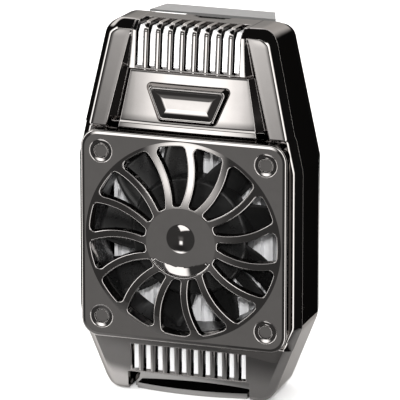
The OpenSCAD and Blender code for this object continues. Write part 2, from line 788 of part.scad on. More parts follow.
// Heat sink, module and cold plate
fin_short = pin_pitch / 2 - screw_head_r - part_gap;
vent_fin_half = vent_w / 2 - part_gap;
vent_fin_tuck = 0.4;
vent_fin_lean = 0.75;
vent_fin_sink = 0.9;
vent_fin_back_y = sink_y + sink_base_t / 2;
vent_fin_end_y = top_vent_y - slide_gap;
vent_fin_low_y = chin_low_y + wall;
module heat_sink() {
    color("gainsboro") place() difference() {
        union() {
            along_y(sink_y, sink_back_y) {
                square(2 * sink_square, center = true);
                translate([-sink_half, sink_low_z]) square([2 * sink_half, sink_top_z - sink_low_z]);
            }
            for (i = [-fin_rows:fin_rows]) {
                x = i * vent_pitch;
                long = abs(x) + fin_t / 2 < sink_half;
                box([x - fin_t / 2, x + fin_t / 2], [fin_y, sink_y + sink_base_t / 2],
                    long ? [sink_low_z, sink_top_z] : [-fin_short, fin_short]);
            }
            corners(pin_pitch) rod(screw_head_r, fan_back_y + seat_gap, sink_y + sink_base_t / 2);
            // The end of a broad fin stands in each vent slot
            vent_row(top_vents)
                along_x(-vent_fin_half, vent_fin_half) polygon([
                    [rail_y + vent_fin_tuck, top_vent_z + slide_gap],
                    [vent_fin_back_y, top_vent_z + slide_gap],
                    [vent_fin_back_y, sink_top_z], [vent_fin_end_y, sink_top_z],
                    [vent_fin_end_y, top_at(vent_fin_end_y) - vent_fin_sink],
                    [round_y, shell_top_z - vent_fin_sink],
                    [rail_y + vent_fin_tuck + vent_fin_lean, shell_top_z - top_edge - vent_fin_tuck]
                ]);
            vent_row(low_vents)
                along_x(-vent_fin_half, vent_fin_half) polygon([
                    [chin_low_y + vent_fin_tuck, low_vent_end_z + slide_gap],
                    [vent_fin_low_y, low_vent_end_z + slide_gap], [vent_fin_low_y, sink_low_z],
                    [vent_fin_back_y, sink_low_z], [vent_fin_back_y, low_vent_top_z - slide_gap],
                    [chin_low_y + vent_fin_tuck, low_vent_top_z - slide_gap]
                ]);
        }
        corners(pin_pitch) rod(screw_r + fit, fan_back_y - over, sink_back_y + over);
    }
}
module sink_screws() {
    color("silver") place() corners(pin_pitch) screw(sink_back_y, fan_back_y - sink_bite, 1);
}
module tec_plate(y0) {
    along_y(y0, y0 + ceramic_t) square(tec_w, center = true);
}
module tec_hot_plate() {
    color("white") place() tec_plate(sink_back_y);
}
module tec_cold_plate() {
    color("white") place() tec_plate(tec_back_y - ceramic_t);
}
pellet_margin = 0.5;
pellet_pitch = (tec_w - pellet_w - 2 * pellet_margin) / (pellet_count - 1);
pellet_mid = (pellet_count - 1) / 2;
module tec_pellets() {
    color("darkgray") place()
        for (i = [0:pellet_count - 1])
            for (j = [0:pellet_count - 1])
                translate([(i - pellet_mid) * pellet_pitch, 0, (j - pellet_mid) * pellet_pitch])
                    along_y(sink_back_y + ceramic_t, tec_back_y - ceramic_t) square(pellet_w, center = true);
}
module tec_gasket() {
    color("dimgray") place() along_y(sink_back_y + fit, tec_back_y - fit) difference() {
        square(2 * gasket_half, center = true);
        square(2 * (gasket_half - gasket_t), center = true);
    }
}
module tec_leads() {
    color("firebrick") place()
        for (s = [-1, 1])
            translate([s * lead_x, board_back_y + seat_gap + lead_r, gasket_half + fit])
                cylinder(r = lead_r, h = board_low_z + lead_reach - gasket_half);
}
module cold_plate() {
    color("silver") place() {
        along_y(tec_back_y, cold_back_y) rounded_square(cold_w, cold_corner_r);
        along_y(tec_back_y, flange_back_y) rounded_square(cold_w + 2 * flange, cold_corner_r + flange);
    }
}
module thermal_pad() {
    color("darkgray") place() along_y(cold_back_y, face_y)
        rounded_square(cold_w - 2 * pad_margin, cold_corner_r - pad_margin);
}

// Electronics
module control_board() {
    color("darkgreen") place()
        box([-board_half, board_half], [board_back_y - board_t, board_back_y], [board_low_z, board_top_z]);
}
chip_t = 1;
chip_w = 4;
chip_x = 7.5;
chip_rise = 5.5;
chip_z = board_low_z + chip_rise;
module board_chips() {
    color("black") place()
        for (s = [-1, 1])
            box([s * chip_x - chip_w / 2, s * chip_x + chip_w / 2],
                [board_back_y, board_back_y + chip_t], [chip_z - chip_w / 2, chip_z + chip_w / 2]);
}
module usb_socket() {
    color("silver") place() difference() {
        box([usb_x - usb_w / 2, usb_x + usb_w / 2], [usb_y - usb_h / 2, usb_y + usb_h / 2],
            [usb_low_z, usb_top_z]);
        box([usb_x - usb_w / 2 + usb_t, usb_x + usb_w / 2 - usb_t],
            [usb_y - usb_h / 2 + usb_t, usb_y + usb_h / 2 - usb_t], [usb_low_z + usb_t, usb_top_z + over]);
    }
}
tongue_half = 1.9;
tongue_t = 0.6;
tongue_recess = 1;
module usb_tongue() {
    color("black") place()
        box([usb_x - tongue_half, usb_x + tongue_half], [usb_y - tongue_t / 2, usb_y + tongue_t / 2],
            [usb_low_z + usb_t, usb_top_z - tongue_recess]);
}
module status_led() {
    color("white") place()
        box([light_x - led_half, light_x + led_half], [board_back_y, board_back_y + led_h],
            [light_low_z - fit - led_len, light_low_z - fit]);
}
module light_pipe() {
    color("white") place()
        box([light_x - light_w / 2, light_x + light_w / 2], [light_y - light_t / 2, light_y + light_t / 2],
            [light_low_z, top_at(light_y)]);
}

// Rear cover
cover_seam = 0.12;
cover_edge = 0.7;
module cover_body() {
    hull() {
        along_y(parting_y + seat_gap, parting_y + seat_gap + slab) outline(top_at(parting_y), cover_seam);
        along_y(cover_back_y - slab, cover_back_y) outline(top_at(cover_back_y), cover_edge);
    }
}
module rear_cover() {
    color("slategray") place() difference() {
        union() {
            difference() {
                cover_body();
                along_y(parting_y - over, cover_in_y) outline(top_at(cover_back_y), wall);
            }
            rear_boss_places() rod(boss_r, parting_y + seat_gap, cover_back_y - cover_t / 2);
            sides() {
                translate([arm_mid, 0, post_z]) rod(post_r, spring_y - spring_r, cover_back_y - cover_t / 2);
                box([arm_out + slide_gap, arm_out + slide_gap + guide_w], [arm_y, cover_back_y - cover_t / 2],
                    [notch_z, guide_top_z]);
                box([arm_in - slide_gap - guide_w, arm_in - slide_gap], [arm_y, cover_back_y - cover_t / 2],
                    [notch_z, guide_top_z]);
                box([arm_in - slide_gap - guide_w / 2, arm_out + slide_gap + guide_w / 2],
                    [arm_y + arm_t + slide_gap, cover_back_y - cover_t / 2], [notch_z, guide_top_z]);
            }
        }
        along_y(cover_in_y - over, cover_back_y + over)
            rounded_square(cold_w + 2 * slide_gap, cold_corner_r + slide_gap);
        rear_boss_places() {
            rod(screw_r + fit, parting_y - over, cover_back_y);
            rod(screw_head_r + slide_gap, cover_back_y - screw_head_h - slide_gap, cover_back_y + over);
        }
        sides()
            translate([jaw_screw_x, 0, jaw_screw_z])
                rod(screw_r + fit, cover_in_y - over, cover_back_y + over);
        box([-cut_half, cut_half], [parting_y - over, cover_back_y + over], [shell_bottom_z - over, notch_z]);
        top_cuts();
    }
}
module rear_screws() {
    color("dimgray") place() rear_boss_places()
        screw(cover_back_y - screw_head_h - slide_gap, parting_y - rear_bite, 1);
}

// Jaws
upper_root_z = top_at(cover_back_y) - slide_gap;
upper_plate_y = face_y - slide_gap;
upper_foot = 1.6;
upper_plate_z = jaw_screw_z - screw_head_r - upper_foot;
upper_knee = 5;
upper_knee_y = cover_back_y + upper_knee;
upper_narrow = 1.7;
upper_knee_half = upper_half - upper_narrow;
upper_end_t = 1.4;
upper_end_z = upper_arm_z + upper_end_t;
jaw_bite = 0.8;
module upper_jaw() {
    color("#202020") place() difference() {
        intersection() {
            along_x(-upper_half, upper_half) polygon([
                [cover_back_y, upper_plate_z], [upper_plate_y, upper_plate_z], [upper_plate_y, upper_arm_z],
                [lip_y, upper_arm_z], [lip_y, upper_arm_z - upper_lip_h],
                [lip_back_y, upper_arm_z - upper_lip_h], [lip_back_y, upper_end_z],
                [upper_knee_y, upper_root_z], [cover_back_y, upper_root_z]
            ]);
            along_z(upper_plate_z - over, shell_top_z + over) polygon([
                [-upper_half, cover_back_y - over], [upper_half, cover_back_y - over],
                [upper_half, cover_back_y], [upper_knee_half, upper_knee_y],
                [upper_end_half, lip_back_y + over], [-upper_end_half, lip_back_y + over],
                [-upper_knee_half, upper_knee_y], [-upper_half, cover_back_y]
            ]);
        }
        sides()
            translate([jaw_screw_x, 0, jaw_screw_z])
                rod(screw_r + fit, cover_back_y - over, cover_back_y + jaw_bite + slide_gap);
    }
}
pad_inset = 1;
pad_half = upper_end_half - pad_inset;
module upper_jaw_pad() {
    color("#303030") place() {
        box([-pad_half, pad_half], [upper_plate_y + part_gap, lip_y - seat_gap],
            [upper_arm_z - rubber_t, upper_arm_z - seat_gap]);
        box([-pad_half, pad_half], [lip_y - rubber_t, lip_y - seat_gap],
            [upper_arm_z - upper_lip_h + rubber_t, upper_arm_z - seat_gap]);
    }
}
module jaw_screws() {
    color("silver") place() sides()
        translate([jaw_screw_x, 0, jaw_screw_z]) screw(cover_in_y, cover_back_y + jaw_bite, -1);
}
module lower_jaw() {
    color("#181818") place() {
        box([-jaw_half, jaw_half], [jaw_wall_y, lip_back_y], [jaw_bottom_z, jaw_floor_z]);
        box([-jaw_half, jaw_half], [jaw_wall_y, jaw_wall_y + jaw_wall_t],
            [jaw_bottom_z, cutout_z - part_gap]);
        box([-jaw_half, jaw_half], [lip_y, lip_back_y], [jaw_bottom_z, jaw_floor_z + low_lip_h]);
        sides() box([arm_in, arm_out], [arm_y, arm_y + arm_t], [jaw_floor_z - over, arm_top_z]);
        along_z(jaw_bottom_z, jaw_bottom_z + ledge_h) intersection() {
            translate([-ledge_half, ledge_y]) square([2 * ledge_half, jaw_wall_y + over - ledge_y]);
            translate([0, ledge_y + ledge_r]) circle(ledge_r, $fn = ledge_fn);
        }
    }
}
module lower_jaw_pad() {
    color("#303030") place() {
        box([-pad_half, pad_half], [cover_back_y + part_gap, lip_y - seat_gap],
            [jaw_floor_z + seat_gap, jaw_floor_z + rubber_t]);
        box([-pad_half, pad_half], [lip_y - rubber_t, lip_y - seat_gap],
            [jaw_floor_z + seat_gap, jaw_floor_z + low_lip_h - rubber_t]);
    }
}

// Springs, wound as one tube each
ring_sides = 6;
coil_rings = 8;
wind_r = spring_r - spring_wire / 2;
wind_pitch = (spring_top_z - spring_low_z - spring_wire) / spring_coils;
ring_total = spring_coils * coil_rings;
echo(spring_least_gap = wind_pitch - spring_wire);
function wind_pt(t) = [wind_r * cos(360 * t), wind_r * sin(360 * t), wind_pitch * t];
function wind_dir(t) =
    let(d = [-2 * PI * wind_r * sin(360 * t), 2 * PI * wind_r * cos(360 * t), wind_pitch]) d / norm(d);
function wind_ring(t) =
    let(n = [cos(360 * t), sin(360 * t), 0], b = cross(wind_dir(t), n))
        [for (k = [0:ring_sides - 1]) let(a = 360 * k / ring_sides)
            wind_pt(t) + spring_wire / 2 * (cos(a) * n + sin(a) * b)];
module wound_spring() {
    pts = [for (i = [0:ring_total]) each wind_ring(i / coil_rings)];
    last = ring_total * ring_sides;
    sides_a = [
        for (i = [0:ring_total - 1]) for (k = [0:ring_sides - 1])
            [i * ring_sides + k, (i + 1) * ring_sides + k, i * ring_sides + (k + 1) % ring_sides]
    ];
    sides_b = [
        for (i = [0:ring_total - 1]) for (k = [0:ring_sides - 1])
            [(i + 1) * ring_sides + k, (i + 1) * ring_sides + (k + 1) % ring_sides,
                i * ring_sides + (k + 1) % ring_sides]
    ];
    cap_a = [for (k = [1:ring_sides - 2]) [0, k, k + 1]];
    cap_b = [for (k = [1:ring_sides - 2]) [last, last + k + 1, last + k]];
    polyhedron(pts, concat(sides_a, sides_b, cap_a, cap_b));
}
module clip_spring_right() {
    color("silver") place()
        translate([arm_mid, spring_y, spring_low_z + spring_wire / 2]) wound_spring();
}
module clip_spring_left() {
    mirror([1, 0, 0]) clip_spring_right();
}

front_shell();
fan_grille();
grille_pins();
hood_badge();
fan_frame();
stator_core();
stator_coils();
motor_board();
bearing_sleeve();
impeller();
rotor_yoke();
magnet_ring();
shaft();
shaft_clip();
heat_sink();
sink_screws();
tec_hot_plate();
tec_pellets();
tec_cold_plate();
tec_gasket();
tec_leads();
cold_plate();
thermal_pad();
control_board();
board_chips();
usb_socket();
usb_tongue();
status_led();
light_pipe();
rear_cover();
rear_screws();
upper_jaw();
upper_jaw_pad();
jaw_screws();
lower_jaw();
lower_jaw_pad();
clip_spring_left();
clip_spring_right();
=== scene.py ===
import json
import math

import bpy
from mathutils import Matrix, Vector
from mathutils.geometry import delaunay_2d_cdt


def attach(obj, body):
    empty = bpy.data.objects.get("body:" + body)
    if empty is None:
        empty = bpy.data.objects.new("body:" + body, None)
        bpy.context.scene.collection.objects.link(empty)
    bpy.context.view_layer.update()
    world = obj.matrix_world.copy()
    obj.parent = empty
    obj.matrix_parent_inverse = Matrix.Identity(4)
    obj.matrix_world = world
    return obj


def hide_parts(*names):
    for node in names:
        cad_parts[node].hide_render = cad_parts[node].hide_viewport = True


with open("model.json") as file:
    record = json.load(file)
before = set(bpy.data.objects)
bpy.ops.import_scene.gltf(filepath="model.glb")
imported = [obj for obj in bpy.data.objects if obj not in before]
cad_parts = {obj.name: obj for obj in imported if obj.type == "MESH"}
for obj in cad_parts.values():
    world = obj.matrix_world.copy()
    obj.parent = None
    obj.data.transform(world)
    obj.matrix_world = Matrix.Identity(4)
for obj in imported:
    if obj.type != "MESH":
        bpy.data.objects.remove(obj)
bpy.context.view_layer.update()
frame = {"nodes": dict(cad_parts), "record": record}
nodes = frame["nodes"]

# Lengths below are in millimetres, x to the right, y back from the grille's face, z up from the fan's axis
MM = 0.001
FACE_Y = 18.9
# Lengths that differ by less than these count as the same
HAIR = 0.01
SAME = 0.001
MERGE = 1e-5
TINY = 1e-6


def at(x, y, z):
    """A point in millimetres as a point of the shared frame."""
    return Vector((x * MM, (y - FACE_Y) * MM, z * MM))


# Camera: azimuth, elevation, distance, sideways and upward offsets fitted to the photograph
CAM_AZIMUTH = math.radians(18.374)
CAM_ELEVATION = math.radians(16.433)
CAM_DISTANCE = 1000.0
CAM_RIGHT = 3.166
CAM_UP = 7.693
CAM_FOCAL_PX = 5416.0
FRAME_PX = 400
SENSOR = 36.0
CLIP_METRES = (0.01, 20)

cam_back = Vector((
    math.sin(CAM_AZIMUTH) * math.cos(CAM_ELEVATION),
    -math.cos(CAM_AZIMUTH) * math.cos(CAM_ELEVATION),
    math.sin(CAM_ELEVATION),
))
cam_right = Vector((math.cos(CAM_AZIMUTH), math.sin(CAM_AZIMUTH), 0))
cam_up = cam_back.cross(cam_right)
camera = bpy.data.objects.new("camera", bpy.data.cameras.new("camera"))
camera.data.sensor_width = SENSOR
camera.data.lens = CAM_FOCAL_PX / FRAME_PX * SENSOR
camera.data.clip_start, camera.data.clip_end = CLIP_METRES
camera.location = at(*(cam_right * CAM_RIGHT + cam_up * CAM_UP + cam_back * CAM_DISTANCE))
camera.rotation_mode = "QUATERNION"
camera.rotation_quaternion = (-cam_back).to_track_quat("-Z", "Y")
bpy.context.scene.collection.objects.link(camera)
bpy.context.scene.camera = camera
bpy.context.scene.view_settings.view_transform = "Standard"


# Node helpers
class Tree:
    """Short calls for one node tree."""

    def __init__(self, tree):
        self.tree = tree
        tree.nodes.clear()

    def node(self, kind, **values):
        made = self.tree.nodes.new(kind)
        for name, value in values.items():
            setattr(made, name, value)
        return made

    def link(self, source, target):
        self.tree.links.new(source, target)

    def put(self, value, socket):
        if isinstance(value, bpy.types.NodeSocket):
            self.link(value, socket)
        else:
            socket.default_value = value

    def math(self, operation, a, b=0.0):
        made = self.node("ShaderNodeMath", operation=operation)
        for value, socket in zip((a, b), made.inputs):
            self.put(value, socket)
        return made.outputs[0]

    def dot(self, a, direction):
        made = self.node("ShaderNodeVectorMath", operation="DOT_PRODUCT")
        self.link(a, made.inputs[0])
        made.inputs[1].default_value = direction
        return made.outputs["Value"]

    def fade(self, value, low, high, out_low=0.0, out_high=1.0):
        made = self.node("ShaderNodeMapRange", interpolation_type="SMOOTHSTEP")
        for v, name in zip((value, low, high, out_low, out_high),
                           ("Value", "From Min", "From Max", "To Min", "To Max")):
            self.put(v, made.inputs[name])
        return made.outputs["Result"]

    def noise(self, vector, scale, detail=3.0):
        made = self.node("ShaderNodeTexNoise")
        self.link(vector, made.inputs["Vector"])
        for name, value in (("Scale", scale), ("Detail", detail), ("Roughness", NOISE_ROUGH)):
            made.inputs[name].default_value = value
        return made.outputs["Fac"]

    def ramp(self, value, *stops):
        made = self.node("ShaderNodeValToRGB")
        self.link(value, made.inputs["Fac"])
        for element, (place, color) in zip(made.color_ramp.elements, stops):
            element.position = place
            element.color = (*color, 1)
        return made.outputs["Color"]


# Finishes: a fine and a broad grain run between two colours and two roughnesses
NOISE_ROUGH = 0.55
GRAIN_LOW = 0.3
GRAIN_HIGH = 0.7
BROAD_SCALE = 0.06
BROAD_DETAIL = 2.0
BUMP_DEPTH = 0.02

# Shader sockets with a value of their own; plated metal stays dark at a glancing angle
EDGE_TINT = (0.4, 0.39, 0.38, 1)
SOCKETS = {
    "black_chrome": {"Specular Tint": EDGE_TINT},
    "rear_plastic": {"Specular Tint": EDGE_TINT},
    "jaw_plastic": {"Specular Tint": EDGE_TINT},
    "upper_jaw_satin": {"Specular IOR Level": 0.2},
    "fan_plastic": {"Specular IOR Level": 0.25},
}


def new_material(name):
    """A material with one shader, and the calls for its tree."""
    material = bpy.data.materials.new(name)
    material.use_nodes = True
    t = Tree(material.node_tree)
    out = t.node("ShaderNodeOutputMaterial")
    shader = t.node("ShaderNodeBsdfPrincipled")
    t.link(shader.outputs[0], out.inputs[0])
    return material, t, shader


def surface(name, dark, light, rough, metallic, grain, bump=0.0, stretch=(1, 1, 1)):
    """A procedural finish: colour and roughness vary with a grain, and bump follows the same grain."""
    material, t, shader = new_material(name)
    place = t.node("ShaderNodeTexCoord")
    spread_out = t.node("ShaderNodeMapping")
    spread_out.inputs["Scale"].default_value = stretch
    t.link(place.outputs["Object"], spread_out.inputs["Vector"])
    fine = t.noise(spread_out.outputs[0], grain)
    broad = t.noise(spread_out.outputs[0], grain * BROAD_SCALE, BROAD_DETAIL)
    mixed = t.math("ADD", t.math("MULTIPLY", fine, 0.5), t.math("MULTIPLY", broad, 0.5))
    t.link(t.ramp(mixed, (GRAIN_LOW, dark), (GRAIN_HIGH, light)), shader.inputs["Base Color"])
    t.link(t.fade(mixed, GRAIN_LOW, GRAIN_HIGH, *rough), shader.inputs["Roughness"])
    shader.inputs["Metallic"].default_value = metallic
    for key, value in SOCKETS.get(name, {}).items():
        shader.inputs[key].default_value = value
    if bump:
        relief = t.node("ShaderNodeBump")
        relief.inputs["Strength"].default_value = bump
        relief.inputs["Distance"].default_value = BUMP_DEPTH * MM
        t.link(fine, relief.inputs["Height"])
        t.link(relief.outputs[0], shader.inputs["Normal"])
    return material


def grey(level):
    return (level, level, level)


# Dark and light colour, the two roughnesses, metallic share and grain, then bump and the grain's stretch
FINISHES = {
    "black_chrome": ((0.285, 0.274, 0.268), (0.315, 0.303, 0.297), (0.02, 0.05), 1.0, 500),
    "rear_plastic": ((0.24, 0.232, 0.226), (0.27, 0.261, 0.255), (0.1, 0.16), 1.0, 700),
    "jaw_plastic": ((0.24, 0.235, 0.23), (0.28, 0.275, 0.27), (0.02, 0.05), 1.0, 600),
    "upper_jaw_satin": ((0.085, 0.084, 0.083), (0.105, 0.104, 0.103), (0.3, 0.4), 0.0, 700),
    "rubber": (grey(0.012), grey(0.022), (0.6, 0.8), 0.0, 2500, 0.3),
    "aluminium": ((0.86, 0.86, 0.87), (0.95, 0.95, 0.96), (0.1, 0.18), 0.4, 1600, 0.0, (6, 1, 0.2)),
    "silicone": ((0.3, 0.31, 0.33), (0.36, 0.37, 0.39), (0.5, 0.65), 0.0, 1800, 0.15),
    "fan_plastic": (grey(0.005), grey(0.009), (0.25, 0.35), 0.0, 1500),
    "steel": (grey(0.5), grey(0.62), (0.15, 0.3), 1.0, 2000, 0.05),
    "copper": ((0.55, 0.22, 0.08), (0.72, 0.34, 0.14), (0.25, 0.4), 1.0, 2500, 0.3, (1, 6, 1)),
    "bronze": ((0.5, 0.36, 0.15), (0.62, 0.46, 0.2), (0.35, 0.5), 1.0, 3000, 0.2),
    "magnet": ((0.03, 0.03, 0.032), (0.05, 0.05, 0.052), (0.5, 0.7), 0.0, 2200, 0.2),
    "circuit_board": ((0.008, 0.07, 0.025), (0.012, 0.1, 0.035), (0.3, 0.4), 0.0, 1800, 0.1),
    "chip": (grey(0.012), grey(0.02), (0.5, 0.6), 0.0, 2600, 0.15),
    "ceramic": ((0.78, 0.78, 0.75), (0.84, 0.84, 0.81), (0.6, 0.7), 0.0, 2400, 0.1),
    "pellet": ((0.08, 0.08, 0.09), (0.13, 0.13, 0.14), (0.5, 0.7), 0.0, 2800, 0.2),
    "lead_jacket": ((0.3, 0.012, 0.01), (0.38, 0.02, 0.016), (0.4, 0.5), 0.0, 1500, 0.1),
    "light": (grey(0.82), grey(0.9), (0.2, 0.3), 0.0, 1200),
    "nylon": ((0.7, 0.7, 0.68), (0.78, 0.78, 0.76), (0.4, 0.5), 0.0, 1800, 0.1),
}
MATERIALS = {name: surface(name, *values) for name, values in FINISHES.items()}

# Each CAD node takes the finish of its slot in the record, apart from these
OWN_FINISH = {"upper_jaw": "upper_jaw_satin", "usb_tongue": "chip"}
for part in frame["record"]["subparts"]:
    slots = nodes[part["node"]].data.materials
    slots.clear()
    slots.append(MATERIALS[OWN_FINISH.get(part["node"], part["material_slot"])])


# Mesh helpers
AHEAD = Vector((0, -1, 0))
BEHIND = Vector((0, 1, 0))
RIM_STEPS = 3
MITRE_LEAST = 0.5
MITRE_MOST = 1.5


def vector_sum(vectors):
    return sum(vectors, Vector((0, 0, 0)))


def round_pairs(items):
    """Each item of a closed loop with the next one."""
    return list(zip(items, items[1:] + items[:1]))


class Skin:
    """A mesh in the making: points in millimetres, faces turned outward, and a shading normal per point."""

    def __init__(self):
        self.points = []
        self.normals = {}
        self.faces = []
        self.flat = {}

    def add(self, point, normal=None):
        self.points.append(Vector(point))
        if normal is not None:
            self.normals[len(self.points) - 1] = Vector(normal).normalized()
        return len(self.points) - 1

    def area(self, ids):
        corner = self.points[ids[0]]
        total = Vector((0, 0, 0))
        for a, b in zip(ids[1:], ids[2:]):
            total += (self.points[a] - corner).cross(self.points[b] - corner)
        return total

    def face(self, ids, flat=False, aim=None):
        """Adds a face; aim turns it to that side, and flat shades it as a plane."""
        ids = [a for a, b in round_pairs(ids) if a != b]
        if len(set(ids)) < 3:
            return
        if aim is not None and self.area(ids).dot(aim) < 0:
            ids = ids[::-1]
        self.faces.append(ids)
        if flat:
            self.flat[len(self.faces) - 1] = self.area(ids).normalized()

    def strip(self, one, two, skip=None):
        """Quads between two rows of points; skip says which places stay open."""
        for i in range(len(one) - 1):
            if skip is None or not skip(i):
                self.face([one[i], one[i + 1], two[i + 1], two[i]])

    def stack(self, rows):
        """Closed strips between each row of points and the next; a row of one point closes the end."""
        for one, two in zip(rows, rows[1:]):
            two = two * len(one) if len(two) == 1 else two
            self.strip(one + one[:1], two + two[:1])

    def shade(self):
        """Gives every point without a normal the mean of its faces, each by its area."""
        sums = {}
        for ids in self.faces:
            area = self.area(ids)
            for i in ids:
                sums[i] = sums.get(i, Vector((0, 0, 0))) + area
        for i, total in sums.items():
            self.normals.setdefault(i, total.normalized())

    def orient(self):
        """Turns each face to the side that its points' normals look to."""
        for k, ids in enumerate(self.faces):
            if k in self.flat:
                continue
            look = vector_sum(self.normals[i] for i in ids)
            if self.area(ids).dot(look) < 0:
                self.faces[k] = ids[::-1]

    def thicken(self, depth, edge):
        """Closes an open sheet: a back at that depth, and a rounded rim along every open edge."""
        self.shade()
        sheet = list(self.faces)
        used = sorted({i for ids in sheet for i in ids})
        directed = {pair for ids in sheet for pair in round_pairs(ids)}
        open_edges = sorted((a, b) for a, b in directed if (b, a) not in directed)
        outward = {}
        for a, b in open_edges:
            along = (self.points[b] - self.points[a]).normalized()
            for i in (a, b):
                outward.setdefault(i, []).append(along.cross(self.normals[i]).normalized())
        back = {i: self.add(self.points[i] - self.normals[i] * depth, -self.normals[i]) for i in used}
        for ids in sheet:
            self.face([back[i] for i in reversed(ids)])
        rims = {}
        for i, sides in outward.items():
            side = vector_sum(sides).normalized()
            reach = min(1 / max(side.dot(sides[0]), MITRE_LEAST), MITRE_MOST) * edge
            p, n = self.points[i], self.normals[i]
            rims[i] = [i]
            for turn in quarter(RIM_STEPS)[1:]:
                rims[i].append(self.add(p + side * reach * math.sin(turn) - n * edge * (1 - math.cos(turn)),
                                        n * math.cos(turn) + side * math.sin(turn)))
            rims[i].append(self.add(p + side * reach - n * depth, side))
        for a, b in open_edges:
            for s in range(RIM_STEPS + 1):
                self.face([rims[b][s], rims[a][s], rims[a][s + 1], rims[b][s + 1]])
            self.face([rims[b][-1], rims[a][-1], back[a], back[b]], flat=True)

    def build(self, name, slot, body, stands_for):
        self.shade()
        used = sorted({i for ids in self.faces for i in ids})
        place = {i: k for k, i in enumerate(used)}
        corners = [at(*self.points[i]) for i in used]
        looks = [self.flat.get(k, self.normals[i]) for k, ids in enumerate(self.faces) for i in ids]
        mesh = bpy.data.meshes.new(name)
        mesh.from_pydata(corners, [], [[place[i] for i in ids] for ids in self.faces])
        mesh.polygons.foreach_set("use_smooth", [True] * len(self.faces))
        mesh.normals_split_custom_set(looks)
        mesh.materials.append(MATERIALS[slot])
        obj = bpy.data.objects.new(name, mesh)
        bpy.context.scene.collection.objects.link(obj)
        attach(obj, body)
        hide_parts(stands_for)


def blend(a, b, t):
    return a + (b - a) * t


def ease(t):
    t = min(max(t, 0.0), 1.0)
    return t * t * (3 - 2 * t)


def heading(angle):
    return Vector((math.cos(angle), math.sin(angle)))


def spot(r, angle, x=0.0, z=0.0):
    """A point in the plane, at a distance and an angle from a centre."""
    return Vector((x + r * math.cos(angle), z + r * math.sin(angle)))


def polar(r, angle, y=0.0):
    return Vector((r * math.cos(angle), y, r * math.sin(angle)))


def around(sides):
    """The angles that cut a full turn into equal steps."""
    return [2 * math.pi * s / sides for s in range(sides)]


def quarter(steps):
    """The angles that cut a quarter turn into equal steps, with both ends."""
    return [math.pi / 2 * s / steps for s in range(steps + 1)]


def headings(start, end, steps):
    """Directions that turn the short way from one to another in equal steps, with both ends."""
    a = math.atan2(start.y, start.x)
    b = a + (math.atan2(end.y, end.x) - a + math.pi) % (2 * math.pi) - math.pi
    return [heading(blend(a, b, s / steps)) for s in range(steps + 1)]


def spun(skin, centre, profile, sides, first=None):
    """Turns a profile of (radius, y), from the outside in, round an axis along y; first is a ready ring."""
    rows = []
    for k, (r, y) in enumerate(profile):
        if k == 0 and first is not None:
            rows.append(first)
            continue
        before, after = profile[max(k - 1, 0)], profile[min(k + 1, len(profile) - 1)]
        dr, dy = after[0] - before[0], after[1] - before[1]
        row = []
        for a in around(1 if r == 0 else sides):
            normal = Vector((-dy * math.cos(a), dr, -dy * math.sin(a)))
            row.append(skin.add(Vector(centre) + polar(r, a, y), normal))
        rows.append(row)
    skin.stack(rows)
    return rows


# Fan grille: a square plate with a low dome of swept spokes round a hub with a bowl in it
PLATE_HALF = 19.2
PLATE_R = 2.6
PLATE_EDGE = 0.8
PLATE_BEVEL = 0.42
PLATE_TILT = math.radians(7)
PLATE_T = 1.6
DOME_R = 19.0
DOME_RISE = 1.6
HUB_R = 6.75
SCOOP_IN = 4.55
SCOOP_OUT = 6.6
SCOOP_SPAN = math.radians(58)
SCOOP_TILT = math.radians(14)
BOWL_R = 2.8
BOWL_DEPTH = 0.47
BOWL_LIFT = 0.8
BOWL_POWERS = (1.0, 1.8)
HUB_SHARE = 0.65
HUB_ROWS = 40
HUB_SIDES = 90
SLOTS = 15
SLOT_IN = 7.1
SLOT_OUT = 18.2
SLOT_BEVEL = 0.27
SPOKE_OUT = 16.15
SPOKE_IN = 14.65
SPOKE_AXIS = 18.84
SPOKE_TURN = 15.7
SPOKE_CREST = 0.2
SPOKE_CUTS = 26
CORNER_OUT = 0.9
CORNER_IN = 0.5
OUT_STEPS = 8
IN_STEPS = 4
SIDE_STEPS = 18
CORNER_OUT_STEPS = 6
CORNER_IN_STEPS = 5
SLOT_EDGE_STEPS = 5
PLATE_CORNER_STEPS = 8
PLATE_EDGE_STEPS = 6
BEVEL_START = 0.04
DOME_SIDES = 180
PIN_AT = 16.0

# Corner dimple, as (radius, depth): a rolled lip, a cone and a well with a flat floor
DIMPLE_R = 2.3
DIMPLE_SIDES = 40
DIMPLE_LIP = 0.12
DIMPLE_LIP_STEPS = 4
DIMPLE_LIP_TURN = 15
DIMPLE_CONE = [(2.12, 0.11), (1.9, 0.139), (1.6, 0.178), (1.42, 0.202)]
DIMPLE_FLOOR = 0.9
DIMPLE_WELL = [(1.36, 0.23), (1.33, 0.34), (1.33, DIMPLE_FLOOR), (0, DIMPLE_FLOOR)]


def dome(r):
    """Height and slope of the grille's front at a distance from its axis."""
    if r > DOME_R + SAME:
        return 0.0, 0.0
    return DOME_RISE * ((r / DOME_R) ** 2 - 1), 2 * DOME_RISE * r / DOME_R ** 2


def dome_point(x, z, lift=0.0):
    """Place and shading direction on the grille's front, or that far behind it."""
    r = math.hypot(x, z)
    y, slope = dome(r)
    safe = max(r, TINY)
    return Vector((x, y + lift, z)), Vector((slope * x / safe, -1, slope * z / safe)).normalized()


